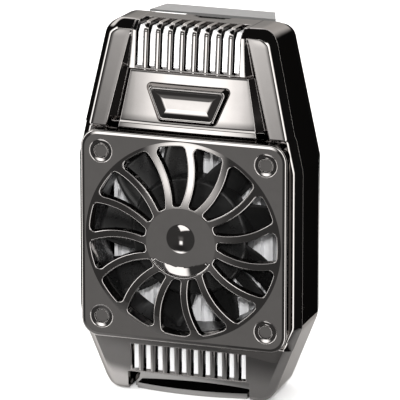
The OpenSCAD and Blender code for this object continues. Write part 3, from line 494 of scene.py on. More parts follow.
def hub_y(x, z):
    """Height of the hub: a level disc with a crescent scooped out of its lower edge, and a round bowl."""
    r = math.hypot(x, z)
    y = dome(HUB_R)[0]
    off = abs(math.atan2(x, -z)) / SCOOP_SPAN
    start = blend(SCOOP_OUT, SCOOP_IN, math.sqrt(max(0.0, 1 - off * off)))
    if r < SCOOP_OUT:
        y += max(0.0, r - start) * math.tan(SCOOP_TILT)
    q = math.hypot(x, z - BOWL_LIFT) / BOWL_R
    below = ease(0.5 - (z - BOWL_LIFT) / (2 * BOWL_R))
    return y + BOWL_DEPTH * max(0.0, 1 - q * q) ** blend(*BOWL_POWERS, below)


def hub_point(x, z):
    step = HAIR
    across = (hub_y(x + step, z) - hub_y(x - step, z)) / (2 * step)
    upward = (hub_y(x, z + step) - hub_y(x, z - step)) / (2 * step)
    return Vector((x, hub_y(x, z), z)), Vector((across, -1, upward)).normalized()


def spoke_turn(k):
    return math.radians(SPOKE_TURN + 360 / SLOTS * k)


def spoke_angle(r, radius):
    """How far a spoke's arc of that radius has turned from its axis at a distance from the hub's centre."""
    return math.acos((r * r + SPOKE_AXIS ** 2 - radius ** 2) / (2 * r * SPOKE_AXIS))


def slot_loop(k):
    """Points round one slot, each with the direction from the slot into the metal."""
    turn = [spoke_turn(k), spoke_turn(k - 1)]
    axes = [spot(SPOKE_AXIS, a) for a in turn]
    loop = []

    def on_spoke(side, r, radius):
        return spot(r, turn[side] - spoke_angle(r, radius))

    def near(p):
        return (axes[0] - p).normalized()

    def far(p):
        return (p - axes[1]).normalized()

    def corner(centre, radius, start, end, steps):
        loop.extend((centre + m * radius, m) for m in headings(start, end, steps))

    def arc(axis, start, end, inward, steps):
        radius = (start - axis).length
        for m in headings(start - axis, end - axis, steps)[1:-1]:
            loop.append((axis + m * radius, -m if inward else m))

    out_far = on_spoke(1, SLOT_OUT - CORNER_OUT, SPOKE_IN - CORNER_OUT)
    in_far = on_spoke(1, SLOT_IN + CORNER_IN, SPOKE_IN - CORNER_IN)
    in_near = on_spoke(0, SLOT_IN + CORNER_IN, SPOKE_OUT + CORNER_IN)
    out_near = on_spoke(0, SLOT_OUT - CORNER_OUT, SPOKE_OUT + CORNER_OUT)
    zero = Vector((0, 0))
    arc(zero, out_near.normalized() * SLOT_OUT, out_far.normalized() * SLOT_OUT, False, OUT_STEPS)
    corner(out_far, CORNER_OUT, out_far.normalized(), far(out_far), CORNER_OUT_STEPS)
    arc(axes[1], out_far + far(out_far) * CORNER_OUT, in_far + far(in_far) * CORNER_IN, False, SIDE_STEPS)
    corner(in_far, CORNER_IN, far(in_far), -in_far.normalized(), CORNER_IN_STEPS)
    arc(zero, in_far.normalized() * SLOT_IN, in_near.normalized() * SLOT_IN, True, IN_STEPS)
    corner(in_near, CORNER_IN, -in_near.normalized(), near(in_near), CORNER_IN_STEPS)
    arc(axes[0], in_near + near(in_near) * CORNER_IN, out_near + near(out_near) * CORNER_OUT, True,
        SIDE_STEPS)
    corner(out_near, CORNER_OUT, near(out_near), out_near.normalized(), CORNER_OUT_STEPS)
    return loop


def square_loop(half, radius, steps, runs=1):
    """Points round a rounded square, each with its outward direction; runs cuts each straight side."""
    loop = []
    for corner in range(4):
        c = math.radians(45 + 90 * corner)
        centre = Vector([math.copysign(half - radius, side) for side in (math.cos(c), math.sin(c))])
        for s in range(steps + 1):
            m = heading(math.pi / 2 * (corner + s / steps))
            loop.append((centre + m * radius, m))
        along = Vector((-m.y, m.x)) * 2 * (half - radius)
        start = loop[-1][0]
        loop += [(start + along / runs * s, m) for s in range(1, runs)]
    return loop


def ring_loop(x, z, radius, sides):
    return [spot(radius, a, x, z) for a in around(sides)]


def flat_mesh(loops, extra, creases=()):
    """Triangles inside the first loop and outside the others; creases are loops that only cut them."""
    coords = []
    faces = []
    for loop in loops:
        ids = list(range(len(coords), len(coords) + len(loop)))
        coords += [Vector(p) for p in loop]
        turn = sum(coords[a].cross(coords[b]) for a, b in round_pairs(ids))
        faces.append(ids if turn > 0 else ids[::-1])
    rings = [sorted(ids) for ids in faces]
    coords += [Vector(p) for p in extra]
    verts, _, tris, origin, _, owners = delaunay_2d_cdt(coords, [], faces, 0, MERGE)
    solid = {0, *creases}
    keep = [tri for tri, own in zip(tris, owners) if own and solid.issuperset(own)]
    place = {}
    for new, olds in enumerate(origin):
        for old in olds:
            place[old] = new
    return verts, keep, [[place[i] for i in ids] for ids in rings]


def make_grille():
    skin = Skin()
    slots = [slot_loop(k) for k in range(SLOTS)]
    plate = square_loop(PLATE_HALF, PLATE_R, PLATE_CORNER_STEPS)
    dimples = [(sx * PIN_AT, sz * PIN_AT) for sx in (-1, 1) for sz in (-1, 1)]
    mid = []
    for k in range(SLOTS):
        for off in (-SPOKE_CREST, SPOKE_CREST):
            radius = (SPOKE_OUT + SPOKE_IN) / 2 + off
            for s in range(1, SPOKE_CUTS):
                r = blend(HUB_R, SLOT_OUT, s / SPOKE_CUTS)
                mid.append(spot(r, spoke_turn(k) - spoke_angle(r, radius)))
    loops = [[p for p, m in plate], ring_loop(0, 0, HUB_R, HUB_SIDES)]
    loops += [[p + m * SLOT_BEVEL for p, m in slot] for slot in slots]
    loops += [ring_loop(x, z, DIMPLE_R, DIMPLE_SIDES) for x, z in dimples]
    loops.append(ring_loop(0, 0, DOME_R, DOME_SIDES))
    verts, tris, rings = flat_mesh(loops, mid, [len(loops) - 1])
    front = [skin.add(*dome_point(p.x, p.y)) for p in verts]
    for tri in tris:
        ids = [front[i] for i in tri]
        outside = min(math.hypot(skin.points[i].x, skin.points[i].z) for i in ids) > DOME_R - HAIR
        skin.face(ids, flat=outside, aim=AHEAD)
    rings = [[front[i] for i in ring] for ring in rings]

    # Hub and bowl
    rows = [rings[1]]
    for s in range(1, HUB_ROWS + 1):
        t = s / HUB_ROWS
        r, lift = BOWL_R * (1 - t) / (1 - HUB_SHARE), BOWL_LIFT
        if t <= HUB_SHARE:
            r, lift = blend(HUB_R, BOWL_R, t / HUB_SHARE), BOWL_LIFT * ease(t / HUB_SHARE)
        places = around(HUB_SIDES if s < HUB_ROWS else 1)
        rows.append([skin.add(*hub_point(r * math.cos(a), r * math.sin(a) + lift)) for a in places])
    skin.stack(rows)

    # Corner dimples
    lip_turns = [math.radians(DIMPLE_LIP_TURN * s) for s in range(1, DIMPLE_LIP_STEPS + 1)]
    profile = [(DIMPLE_R, 0.0)]
    profile += [(DIMPLE_R - DIMPLE_LIP * math.sin(a), DIMPLE_LIP * (1 - math.cos(a))) for a in lip_turns]
    for (x, z), ring in zip(dimples, rings[2 + SLOTS:]):
        spun(skin, (x, 0, z), profile + DIMPLE_CONE + DIMPLE_WELL, DIMPLE_SIDES, ring)

    # Rim of the plate
    rows = [rings[0]]
    drop = PLATE_BEVEL * math.tan(PLATE_TILT)
    round_r = PLATE_EDGE - PLATE_BEVEL
    turns = [(BEVEL_START, BEVEL_START * math.tan(PLATE_TILT), PLATE_TILT)]
    for s in range(PLATE_EDGE_STEPS + 1):
        a = blend(PLATE_TILT, math.pi / 2, s / PLATE_EDGE_STEPS)
        out = round_r * (math.sin(a) - math.sin(PLATE_TILT)) / (1 - math.sin(PLATE_TILT))
        turns.append((PLATE_BEVEL + out, drop + round_r * (math.cos(PLATE_TILT) - math.cos(a)), a))
    for out, y, a in turns:
        rows.append([skin.add((p.x + m.x * out, y, p.y + m.y * out),
                              (m.x * math.sin(a), -math.cos(a), m.y * math.sin(a))) for p, m in plate])
    rim_back = [skin.add((p.x + m.x * PLATE_EDGE, PLATE_T, p.y + m.y * PLATE_EDGE), (m.x, 0, m.y))
                for p, m in plate]
    skin.stack(rows + [rim_back])

    # Slots: rounded edges and walls
    slot_backs = []
    for slot, ring in zip(slots, rings[2:2 + SLOTS]):
        rows = [ring]
        for a in quarter(SLOT_EDGE_STEPS)[1:]:
            sunk = Vector((0, SLOT_BEVEL * (1 - math.cos(a)), 0))
            row = []
            for p, m in slot:
                q = p + m * SLOT_BEVEL
                base_point, normal = dome_point(q.x, q.y)
                inward = Vector((-m.x, 0, -m.y))
                point = base_point + inward * SLOT_BEVEL * math.sin(a) + sunk
                row.append(skin.add(point, normal * math.cos(a) + inward * math.sin(a)))
            rows.append(row)
        slot_backs.append([skin.add(dome_point(p.x, p.y, PLATE_T)[0], (-m.x, 0, -m.y)) for p, m in slot])
        skin.stack(rows + slot_backs[-1:])

    # Back of the plate
    loops = [[p + m * PLATE_EDGE for p, m in plate]] + [[p for p, m in slot] for slot in slots]
    verts, tris, rings = flat_mesh(loops, mid)
    known = {}
    for ring, ids in zip(rings, [rim_back] + slot_backs):
        known.update(zip(ring, ids))
    back = []
    for i, p in enumerate(verts):
        point, normal = dome_point(p.x, p.y, PLATE_T)
        back.append(known[i] if i in known else skin.add(point, -normal))
    for tri in tris:
        skin.face([back[i] for i in tri], flat=True, aim=BEHIND)
    skin.orient()
    skin.build("grille_plate", "black_chrome", "housing", "fan_grille")


make_grille()

# Front shell: one plated sheet with its hood, rails, chin, vents and walls
SHELL_HALF = 21.75
SHELL_TOP = 40.3
SHELL_LOW = -30.8
SHOULDER_Z = 14.0
HIP_Z = -16.2
UPPER_TAPER = 0.215
LOWER_TAPER = 0.4
SHELL_R = 3.6
SHELL_T = 1.2
PARTING_Y = 14.4
TOP_FALL = 0.088
RAIL_Y = 2.7
RAIL_LEAN = 0.056
RAIL_LIFT = 0.15
RAIL_ROLL = 0.12
RAIL_IN = 15.84
RAIL_IN_TAPER = 0.2467
RAIL_LEAST = 0.6
DECK_Y = 3.2
DECK_FRONT = 1.65
DECK_SINK = 0.6
DECK_HALF = 19.7
DECK_R = 3.0
DECK_RUNS = 24
DECK_INNER = 15.0
DECK_OPEN = 18.6
FAN_R = 18.3
SIDE_EDGE = 1.5
TOP_EDGE = 1.6
TOP_ROUND = 2.3
LOW_EDGE = 0.8
EDGE_POWER = 1.65
EDGE_ROWS = 10
OUTLINE_STEPS = 12
ROW_GAP = 0.05
TOP_TURN = 0.25
TOP_TURN_RUN = 0.7
LOW_TURN = 0.5
LOW_TURN_RUN = 0.5
WALL_ROW_Y = 11.0
HOOD_LOW = 20.05
HOOD_LIP = 0.3
MID_Z = 20.5
MID_HALF = 13.3
MID_TAPER = 0.185
KINK_Z = 32.3
KINK_HALF = 11.12
KINK_TAPER = 0.06
RAMP_TOP_Y = 3.5
RAMP_SLOPE = 0.105
FLARE_TOP = 24.4
FLARE_H = 2.6
FLARE_SLOPE = 0.08
LIP_TOP = 21.25
LIP_BEND = 0.35
CREASE_TOP = 21.5
CREASE_H = 0.22
CREASE_RISE = 0.16
RAMP_CROWN = 0.002
RAMP_TOP = 31.0
VENT_Y = 2.4
VENT_LEAN = 0.115
LEDGE_H = 0.75
VENT_PITCH = 2.34
VENT_W = 1.45
VENT_LOW = 31.9
VENT_BACK = 9.2
TOP_VENTS = 9
LOW_VENTS = 10
LOW_VENT_TOP = -21.8
LOW_VENT_END = -27.0
CUT_HALF = 11.9
CUT_TOP = -27.2
CHIN_TOP = -20.0
CHIN_Y = 2.8
CHIN_LOW_Y = 3.3
CHIN_RUN = 10
CHIN_SLACK = 0.1
RIM = 0.14
GROOVE_SHARE = 0.65
GROOVE_TOP = 38.6
GROOVE_RUN = 1.6
GROOVE_LEAST = 0.06
GROOVE_FLOOR = 0.48
GROOVE_RADII = [0, 0.18, 0.1, 0.2, 0]
WINDOW_GAP = 0.1
TOP_WINDOW = VENT_PITCH * (TOP_VENTS - 1) / 2 + VENT_W / 2 + RIM
LOW_WINDOW = VENT_PITCH * (LOW_VENTS - 1) / 2 + VENT_W / 2 + RIM
BAR_W = VENT_PITCH - VENT_W
BAR_EDGE = 0.1
BAR_TILT = math.radians(14)
BAR_DEPTH = 1.5
BAR_SINK = 0.06
BAR_TUCK = 0.35
BAR_STEPS = 4
BEND_STEPS = 8
FLAT_END = 0.02
TOP_BAR_FLAT = 0.3
TOP_BAR_ROWS = [33.5, 35.2, 36.9]
LOW_BAR_FLAT = 0.12
LOW_BAR_ROWS = [-25.5, -23.5]
NOTCH_Y = 13.95
PORT_Y = 11.9
PORT_WIDE_Y = 12.9
PORT_END = 1.1
PORT_X = (-2.3, 4.9)
SLIT_X = (-10.2, -4.1)
# A corner this close to straight isn't rounded, and a rounding takes up to this share of a side
STRAIGHT = 1e-4
CUT_MOST = 0.45


def rounded(points, radii, steps):
    """A bent line in a plane with its corners rounded, as one list of points for each end and corner."""
    out = [[Vector(points[0])]]
    for k in range(1, len(points) - 1):
        p = Vector(points[k])
        before = Vector(points[k - 1]) - p
        after = Vector(points[k + 1]) - p
        u, v = before.normalized(), after.normalized()
        half = math.acos(max(-1.0, min(1.0, u.dot(v)))) / 2
        if math.pi / 2 - half < STRAIGHT:
            out.append([p.copy() for s in range(steps + 1)])
            continue
        cut = min(radii[k] / math.tan(half), before.length * CUT_MOST, after.length * CUT_MOST)
        radius = cut * math.tan(half)
        centre = p + (u + v).normalized() * (radius / math.sin(half))
        turns = headings(p + u * cut - centre, p + v * cut - centre, steps)
        out.append([centre + m * radius for m in turns])
    out.append([Vector(points[-1])])
    return out


def spaced(points, cells):
    """A line through the points, with each stretch cut into its number of equal cells."""
    line = points[:1]
    for a, b, count in zip(points, points[1:], cells):
        line += [a.lerp(b, s / count) for s in range(1, count)] + [b]
    return line


def vent_y(z):
    return VENT_Y + VENT_LEAN * (z - RAMP_TOP - LEDGE_H)


def ramp_y(z):
    """The hood's middle: a ramp that flares forward above its lip, a ledge, and the vent block above it."""
    if z <= RAMP_TOP:
        y = RAMP_TOP_Y
        for s in range(RAMP_CELLS):
            h = blend(RAMP_TOP, z, (s + 0.5) / RAMP_CELLS)
            flare = ease((FLARE_TOP - h) / FLARE_H) * (1 - ease((LIP_TOP - h) / LIP_BEND))
            y -= (RAMP_SLOPE + flare * FLARE_SLOPE) * (RAMP_TOP - z) / RAMP_CELLS
        return y - CREASE_RISE * ease((CREASE_TOP - z) / CREASE_H)
    return blend(RAMP_TOP_Y, vent_y(z), ease((z - RAMP_TOP) / LEDGE_H))


# Cells of the shell's front, across it and up the hood
CENTRE_CELLS = 8
EDGE_CELLS = 3
ROUND_CELLS = 4
MIDDLE_COL = CENTRE_CELLS + EDGE_CELLS + 3 * (ROUND_CELLS + 1) - 1
RAIL_CELLS = 5
LIP_CELLS = 6
RAMP_CELLS = 40
RAMP_BIAS = 1.4
LEDGE_CELLS = 8


def hood_section(z, reach):
    """Half of the hood's section at a height: middle, rounded step and groove, and the flat rail."""
    rail_x = min(RAIL_IN - RAIL_IN_TAPER * (z - MID_Z), reach - RAIL_LEAST)
    mid_x = MID_HALF - MID_TAPER * (z - MID_Z) if z < KINK_Z else KINK_HALF - KINK_TAPER * (z - KINK_Z)
    mid_x = min(mid_x, rail_x - GROOVE_LEAST)
    mid_y = ramp_y(z)
    rail_y = RAIL_Y - RAIL_LIFT + RAIL_LEAN * (z - HOOD_LOW)
    deep = max(mid_y, rail_y) + GROOVE_SHARE * (rail_x - mid_x) * ease((GROOVE_TOP - z) / GROOVE_RUN)
    low = (blend(mid_x, rail_x, GROOVE_FLOOR), deep)
    corners = rounded([(0, mid_y), (mid_x, mid_y), low, (rail_x, rail_y), (reach, rail_y + RAIL_ROLL)],
                      GROOVE_RADII, ROUND_CELLS)
    crown = RAMP_CROWN * (1 - ease((z - RAMP_TOP) / LEDGE_H))
    for p in corners[1] + corners[2]:
        p.y += crown * p.x * p.x
    window = Vector((min(TOP_WINDOW, corners[1][0].x - WINDOW_GAP), mid_y))
    line = spaced([corners[0][0], window, corners[1][0]], (CENTRE_CELLS, EDGE_CELLS))[:-1]
    for p in line:
        p.y = mid_y + crown * p.x * p.x
    for corner in corners[1:4]:
        line += corner
    return line + spaced([line[-1], corners[4][0]], (RAIL_CELLS,))[1:]


def plain_section(y, inner, middle, reach):
    """Half of a flat section, with the same count of points as the hood's."""
    points = [Vector((x, y)) for x in (0, inner, middle, reach)]
    return spaced(points, (CENTRE_CELLS, MIDDLE_COL - CENTRE_CELLS, RAIL_CELLS))


def chin_y(z):
    return blend(CHIN_Y, CHIN_LOW_Y, (CHIN_TOP - z) / CHIN_RUN)


# Inner columns of the top row; the slit and the socket's notch begin or end at some of them
TOP_ROW_X = [0, 1.15, 2.3, 3.2, 4.1, 4.9, 6.6, 8.3]
# Heights of the rows across the front, besides those of the hood's ramp
CHIN_ROWS = [-28.0, CUT_TOP - HAIR, CUT_TOP, LOW_VENT_END - RIM, -26.0, -24.6, -23.2, LOW_VENT_TOP + RIM,
             -21.0, -20.3, CHIN_TOP, -19.6]
DECK_ROWS = [-DECK_OPEN, -17.2, -14.0, -9.0, -4.0, 1.0, 6.0, 11.0, 15.0, 17.0, DECK_OPEN, 19.6]
VENT_ROWS = [VENT_LOW - RIM, 32.6, 33.4, 34.2, 35.0, 35.7, 36.3]
# How many columns from the middle are open between two rows of one kind
OPEN_TO = {"vent": CENTRE_CELLS, "low_vent": CENTRE_CELLS, "deck": MIDDLE_COL, "cut": MIDDLE_COL}


def side_samples():
    """The right side of the outline from bottom to top, as (place, outward direction, inset, depth)."""
    low_half = SHELL_HALF - LOWER_TAPER * (HIP_Z - SHELL_LOW)
    top_half = SHELL_HALF - UPPER_TAPER * (SHELL_TOP - SHOULDER_Z)
    corners = [(0, SHELL_LOW), (low_half, SHELL_LOW), (SHELL_HALF, HIP_Z), (SHELL_HALF, SHOULDER_Z),
               (top_half, SHELL_TOP), (0, SHELL_TOP)]
    arcs = rounded(corners, [0] + [SHELL_R] * 4 + [0], OUTLINE_STEPS)
    stops = CHIN_ROWS + DECK_ROWS + [HOOD_LOW - 2 * HAIR]
    stops += [HOOD_LOW + HOOD_LIP * (1 - math.cos(a)) for a in quarter(LIP_CELLS)]
    stops += [blend(HOOD_LOW + HOOD_LIP, RAMP_TOP, (s / RAMP_CELLS) ** RAMP_BIAS)
              for s in range(1, RAMP_CELLS + 1)]
    stops += [RAMP_TOP + LEDGE_H * s / LEDGE_CELLS for s in range(1, LEDGE_CELLS + 1)] + VENT_ROWS
    samples = []

    def outward(a, b):
        along = (b - a).normalized()
        return Vector((along.y, -along.x))

    def add(q, n):
        up = ease((n.y - TOP_TURN) / TOP_TURN_RUN)
        down = ease((-n.y - LOW_TURN) / LOW_TURN_RUN)
        edges = [SIDE_EDGE + (top - SIDE_EDGE) * up + (LOW_EDGE - SIDE_EDGE) * down
                 for top in (TOP_EDGE, TOP_ROUND)]
        samples.append((q, n, *edges))

    for k in range(1, 5):
        arc = arcs[k]
        first = outward(Vector(corners[k - 1]), Vector(corners[k]))
        last = outward(Vector(corners[k]), Vector(corners[k + 1]))
        for s, q in enumerate(arc):
            add(q, first.lerp(last, s / OUTLINE_STEPS).normalized())
        if k < 4:
            start, end = arc[-1], arcs[k + 1][0]
            lift = last.y * SIDE_EDGE
            for z in stops:
                if start.y - lift + ROW_GAP < z < end.y - lift - ROW_GAP:
                    add(start.lerp(end, (z + lift - start.y) / (end.y - start.y)), last)
    return samples


def front_row(z, reach):
    """Half of the front's section at a height, and the kind of row that it is."""
    if z > HOOD_LOW - HAIR:
        lip = 0.0
        if z < HOOD_LOW + HOOD_LIP:
            lip = HOOD_LIP * (1 - math.sqrt(max(0.0, 1 - (1 - (z - HOOD_LOW) / HOOD_LIP) ** 2)))
        half = [Vector((p.x, p.y + lip)) for p in hood_section(z, reach)]
        return half, "vent" if z > VENT_LOW - RIM - HAIR else "hood"
    if z > CHIN_TOP + CHIN_SLACK:
        half = plain_section(DECK_Y, DECK_INNER, DECK_OPEN, reach)
        return half, "deck" if abs(z) < DECK_OPEN + HAIR else "plain"
    half = plain_section(chin_y(z), LOW_WINDOW, CUT_HALF + RIM, reach)
    if z < CUT_TOP + SAME:
        return half, "cut"
    return half, "low_vent" if LOW_VENT_END - RIM - HAIR < z < LOW_VENT_TOP + RIM + HAIR else "plain"


def make_shell():
    skin = Skin()
    rows = []
    kinds = []
    samples = side_samples()
    for number, (q, n, inset, depth) in enumerate(samples):
        front = q - n * inset
        half, kind = front_row(front.y, front.x)
        if number == len(samples) - 1:
            for p, x in zip(half, TOP_ROW_X):
                p.x = x
        line = [Vector((-p.x, p.y)) for p in half[:0:-1]] + half
        rows.append([skin.add((p.x, p.y, front.y)) for p in line])
        kinds.append(kind)
    last = len(rows[0]) - 1
    centre = last // 2

    def cell(i):
        """How far a cell is from the middle, counted in columns."""
        return centre - 1 - i if i < centre else i - centre

    for j in range(len(rows) - 1):
        open_to = OPEN_TO.get(kinds[j], 0) if kinds[j] == kinds[j + 1] else 0
        skin.strip(rows[j], rows[j + 1], skip=lambda i: cell(i) < open_to)

    # The edge all round and the walls behind it
    loop = [(row[last], *sample, None) for row, sample in zip(rows, samples)]
    for i in range(last - 1, 0, -1):
        p = skin.points[rows[-1][i]]
        loop.append((rows[-1][i], Vector((p.x, SHELL_TOP)), Vector((0, 1)), TOP_EDGE, TOP_ROUND, ("top", i)))
    for row, (q, n, inset, depth) in zip(rows[::-1], samples[::-1]):
        loop.append((row[0], Vector((-q.x, q.y)), Vector((-n.x, n.y)), inset, depth, None))
    for i in range(1, last):
        p = skin.points[rows[0][i]]
        loop.append((rows[0][i], Vector((p.x, SHELL_LOW)), Vector((0, -1)), LOW_EDGE, LOW_EDGE, ("low", i)))
    bands = [[entry[0] for entry in loop]]
    for turn in quarter(EDGE_ROWS)[1:]:
        out, deep = math.sin(turn) ** EDGE_POWER, 1 - math.cos(turn) ** EDGE_POWER
        band = []
        for vertex, q, n, inset, depth, edge in loop:
            place = q - n * inset * (1 - out)
            band.append(skin.add((place.x, skin.points[vertex].y + depth * deep, place.y)))
        bands.append(band)
    for level in (VENT_BACK, WALL_ROW_Y, PORT_Y, PORT_WIDE_Y, NOTCH_Y, PARTING_Y):
        band = []
        for vertex, q, n, inset, depth, edge in loop:
            start = skin.points[vertex].y + depth
            fall = TOP_FALL * (level - start) * max(n.y, 0)
            band.append(skin.add((q.x, level, q.y - fall)))
        bands.append(band)

    def is_open(k, a, b):
        """Whether a cell of the walls belongs to a vent, the slit, the socket's notch or the jaw's cut."""
        one, two = loop[a][-1], loop[b][-1]
        if not one or not two or one[0] != two[0]:
            return False
        away = cell(min(one[1], two[1]))
        if one[0] == "low":
            return away < MIDDLE_COL
        x = (skin.points[bands[k][a]].x + skin.points[bands[k][b]].x) / 2
        from_back = len(bands) - 2 - k
        return (k <= EDGE_ROWS and away < CENTRE_CELLS
                or from_back == 0 and SLIT_X[0] < x < SLIT_X[1]
                or from_back <= 1 and PORT_X[0] < x < PORT_X[1]
                or from_back == 2 and PORT_X[0] + PORT_END < x < PORT_X[1] - PORT_END / 2)

    for k in range(len(bands) - 1):
        for a in range(len(loop)):
            b = (a + 1) % len(loop)
            if not is_open(k, a, b):
                skin.face([bands[k][a], bands[k + 1][a], bands[k + 1][b], bands[k][b]])
    skin.thicken(SHELL_T, RIM)
    add_bars(skin)
    add_deck(skin)
    skin.build("shell_plated", "black_chrome", "housing", "front_shell")


def add_bar(skin, x, path, flat):
    """A bar with a narrow flat between two slopes, swept along a path of (y, z, outward direction)."""
    half = BAR_W / 2
    slope = half - BAR_EDGE - flat / 2
    fall = slope * math.tan(BAR_TILT)
    arc = [(flat / 2, 0.0, 0.0), (flat / 2 + FLAT_END, FLAT_END * math.tan(BAR_TILT), BAR_TILT)]
    for s in range(BAR_STEPS + 1):
        a = blend(BAR_TILT, math.pi / 2, s / BAR_STEPS)
        arc.append((half - BAR_EDGE * (1 - math.sin(a)), fall + BAR_EDGE * (1 - math.cos(a)), a))
    right = [(side, deep, math.sin(a), math.cos(a)) for side, deep, a in arc] + [(half, BAR_DEPTH, 1, 0)]
    outline = [(-side, deep, -across, out) for side, deep, across, out in right[::-1]] + right
    rows = []
    for y, z, n in path:
        rows.append([skin.add(Vector((x + side, y, z)) - n * deep, Vector((across, 0, 0)) + n * out)
                     for side, deep, across, out in outline])
    for one, two in zip(rows, rows[1:]):
        for i in range(len(outline) - 1):
            ids = [one[i], one[i + 1], two[i + 1], two[i]]
            skin.face(ids, aim=vector_sum(skin.normals[v] for v in ids))
        under = [one[0], one[-1], two[-1], two[0]]
        skin.face(under, flat=True, aim=-path[0][2])
    for row, other in ((rows[0], rows[1]), (rows[-1], rows[-2])):
        skin.face(row, flat=True, aim=skin.points[row[0]] - skin.points[other[0]])


def add_bars(skin):
    bend = SHELL_TOP - TOP_EDGE
    lean = Vector((0, -1, VENT_LEAN)).normalized()
    heights = [VENT_LOW - BAR_TUCK, VENT_LOW, *TOP_BAR_ROWS, bend - TOP_BAR_FLAT]
    path = [(vent_y(z) + BAR_SINK, z, lean) for z in heights]
    start = vent_y(bend) + BAR_SINK
    for a in quarter(BEND_STEPS):
        normal = Vector((0, -TOP_EDGE * math.cos(a), TOP_ROUND * math.sin(a))).normalized()
        y, z = start + TOP_ROUND * (1 - math.cos(a)), bend + (TOP_EDGE - BAR_SINK) * math.sin(a)
        path.append((y, z, normal))
    for back in (VENT_BACK, VENT_BACK + BAR_TUCK):
        path.append((back, z - TOP_FALL * (back - y), Vector((0, TOP_FALL, 1)).normalized()))
    normal = Vector((0, -1, -(CHIN_LOW_Y - CHIN_Y) / CHIN_RUN)).normalized()
    heights = [LOW_VENT_END - BAR_TUCK, *LOW_BAR_ROWS, LOW_VENT_TOP + BAR_TUCK]
    low_path = [(chin_y(z) + BAR_SINK, z, normal) for z in heights]
    for vents, route, flat in ((TOP_VENTS, path, TOP_BAR_FLAT), (LOW_VENTS, low_path, LOW_BAR_FLAT)):
        for k in range(vents - 1):
            add_bar(skin, VENT_PITCH * (k - (vents - 2) / 2), route, flat)


def add_deck(skin):
    """The raised deck behind the grille, with the fan's round opening."""
    sides = square_loop(DECK_HALF, DECK_R, PLATE_CORNER_STEPS, DECK_RUNS)
    back = DECK_Y + DECK_SINK
    rows = []
    for y, outer in ((DECK_FRONT, True), (DECK_FRONT, False), (back, False), (back, True)):
        rows.append([skin.add((p.x, y, p.y) if outer else polar(FAN_R, math.atan2(p.y, p.x), y))
                     for p, m in sides])
    aims = [AHEAD, None, BEHIND, None]
    for k, (one, two) in enumerate(round_pairs(rows)):
        for (a, b), (c, d) in zip(round_pairs(one), round_pairs(two)):
            p = skin.points[a]
            radial = Vector((p.x, 0, p.z)) * (-1 if k == 1 else 1)
            skin.face([a, b, d, c], flat=True, aim=aims[k] or radial)


make_shell()

# Corner pins: low smooth heads on round shanks, as (radius, depth)
PIN_R = 1.25
PIN_SHANK = 0.8
PIN_TIP = 6.45
PIN_SIDES = 36
PIN_HEAD = [(PIN_R, DIMPLE_FLOOR), (PIN_R, 0.29), (1.24, 0.26), (1.21, 0.24), (1.17, 0.225), (0.7, 0.22),
            (0, 0.22)]


def make_pins():
    skin = Skin()
    for x in (-PIN_AT, PIN_AT):
        for z in (-PIN_AT, PIN_AT):
            rim = spun(skin, (x, 0, z), PIN_HEAD, PIN_SIDES)[0]
            shank = [(PIN_SHANK, PIN_TIP), (PIN_SHANK, DIMPLE_FLOOR)]
            foot, neck = spun(skin, (x, 0, z), shank, PIN_SIDES)
            for (a, b), (c, d) in zip(round_pairs(rim), round_pairs(neck)):
                skin.face([a, b, d, c], flat=True, aim=BEHIND)
            skin.face(foot, flat=True, aim=BEHIND)
    skin.orient()
    skin.build("corner_pins", "black_chrome", "housing", "grille_pins")


make_pins()

# Badge: a plain dished plaque on the ramp
BADGE_Z = 21.9
BADGE_H = 7.2
BADGE_TOP = 8.5
BADGE_LOW = 5.5
BADGE_LEAN = 0.45
BADGE_LEAN_FROM = 0.3
BADGE_LEAN_RUN = 0.4
BADGE_R = 0.9
BADGE_R_FALL = 0.4
BADGE_R_LEAST = 0.15
BADGE_STEPS = 6
# From the seat to the middle of the dish, as (distance in from the outline, rise)
BADGE_LEVELS = [(0.0, -0.2), (0.0, 0.25), (0.05, 0.33), (0.12, 0.4), (0.55, 0.72), (0.65, 0.77), (0.78, 0.8),
                (0.95, 0.79), (1.2, 0.73), (1.6, 0.64), (2.1, 0.58), (2.7, 0.56)]


def moved_in(points, distance):
    """A convex outline, taken counter-clockwise, moved inward by a distance."""
    lines = []
    for a, b in round_pairs(points):
        along = (b - a).normalized()
        lines.append((a + Vector((-along.y, along.x)) * distance, along))
    out = []
    for (p, u), (q, v) in zip(lines[-1:] + lines[:-1], lines):
        t = (q - p).cross(v) / u.cross(v)
        out.append(p + u * t)
    return out


def badge_y(p):
    """The seat under the badge, taken straight along the ramp."""
    low, high = ramp_y(BADGE_Z), ramp_y(BADGE_Z + BADGE_H)
    return blend(low, high, p.y / BADGE_H) + RAMP_CROWN * p.x * p.x


def make_badge():
    skin = Skin()
    shape = [Vector((-BADGE_LOW, 0)), Vector((BADGE_LOW, 0)),
             Vector((BADGE_TOP, BADGE_H)), Vector((-BADGE_TOP, BADGE_H))]
    rows = []
    for distance, rise in BADGE_LEVELS:
        corners = moved_in(shape, distance)
        radius = max(BADGE_R - distance * BADGE_R_FALL, BADGE_R_LEAST)
        loop = [corners[-1]] + corners + [corners[0]]
        bends = rounded(loop, [radius] * len(loop), BADGE_STEPS)[1:-1]
        lean = BADGE_LEAN * ease((rise - BADGE_LEAN_FROM) / BADGE_LEAN_RUN)
        rows.append([skin.add((p.x, badge_y(p) - rise - lean * p.y / BADGE_H, BADGE_Z + p.y))
                     for bend in bends for p in bend])
    skin.stack(rows)
    skin.face(rows[-1], aim=AHEAD)
    skin.face(rows[0], flat=True, aim=BEHIND)
    skin.build("badge_plaque", "black_chrome", "housing", "hood_badge")


make_badge()

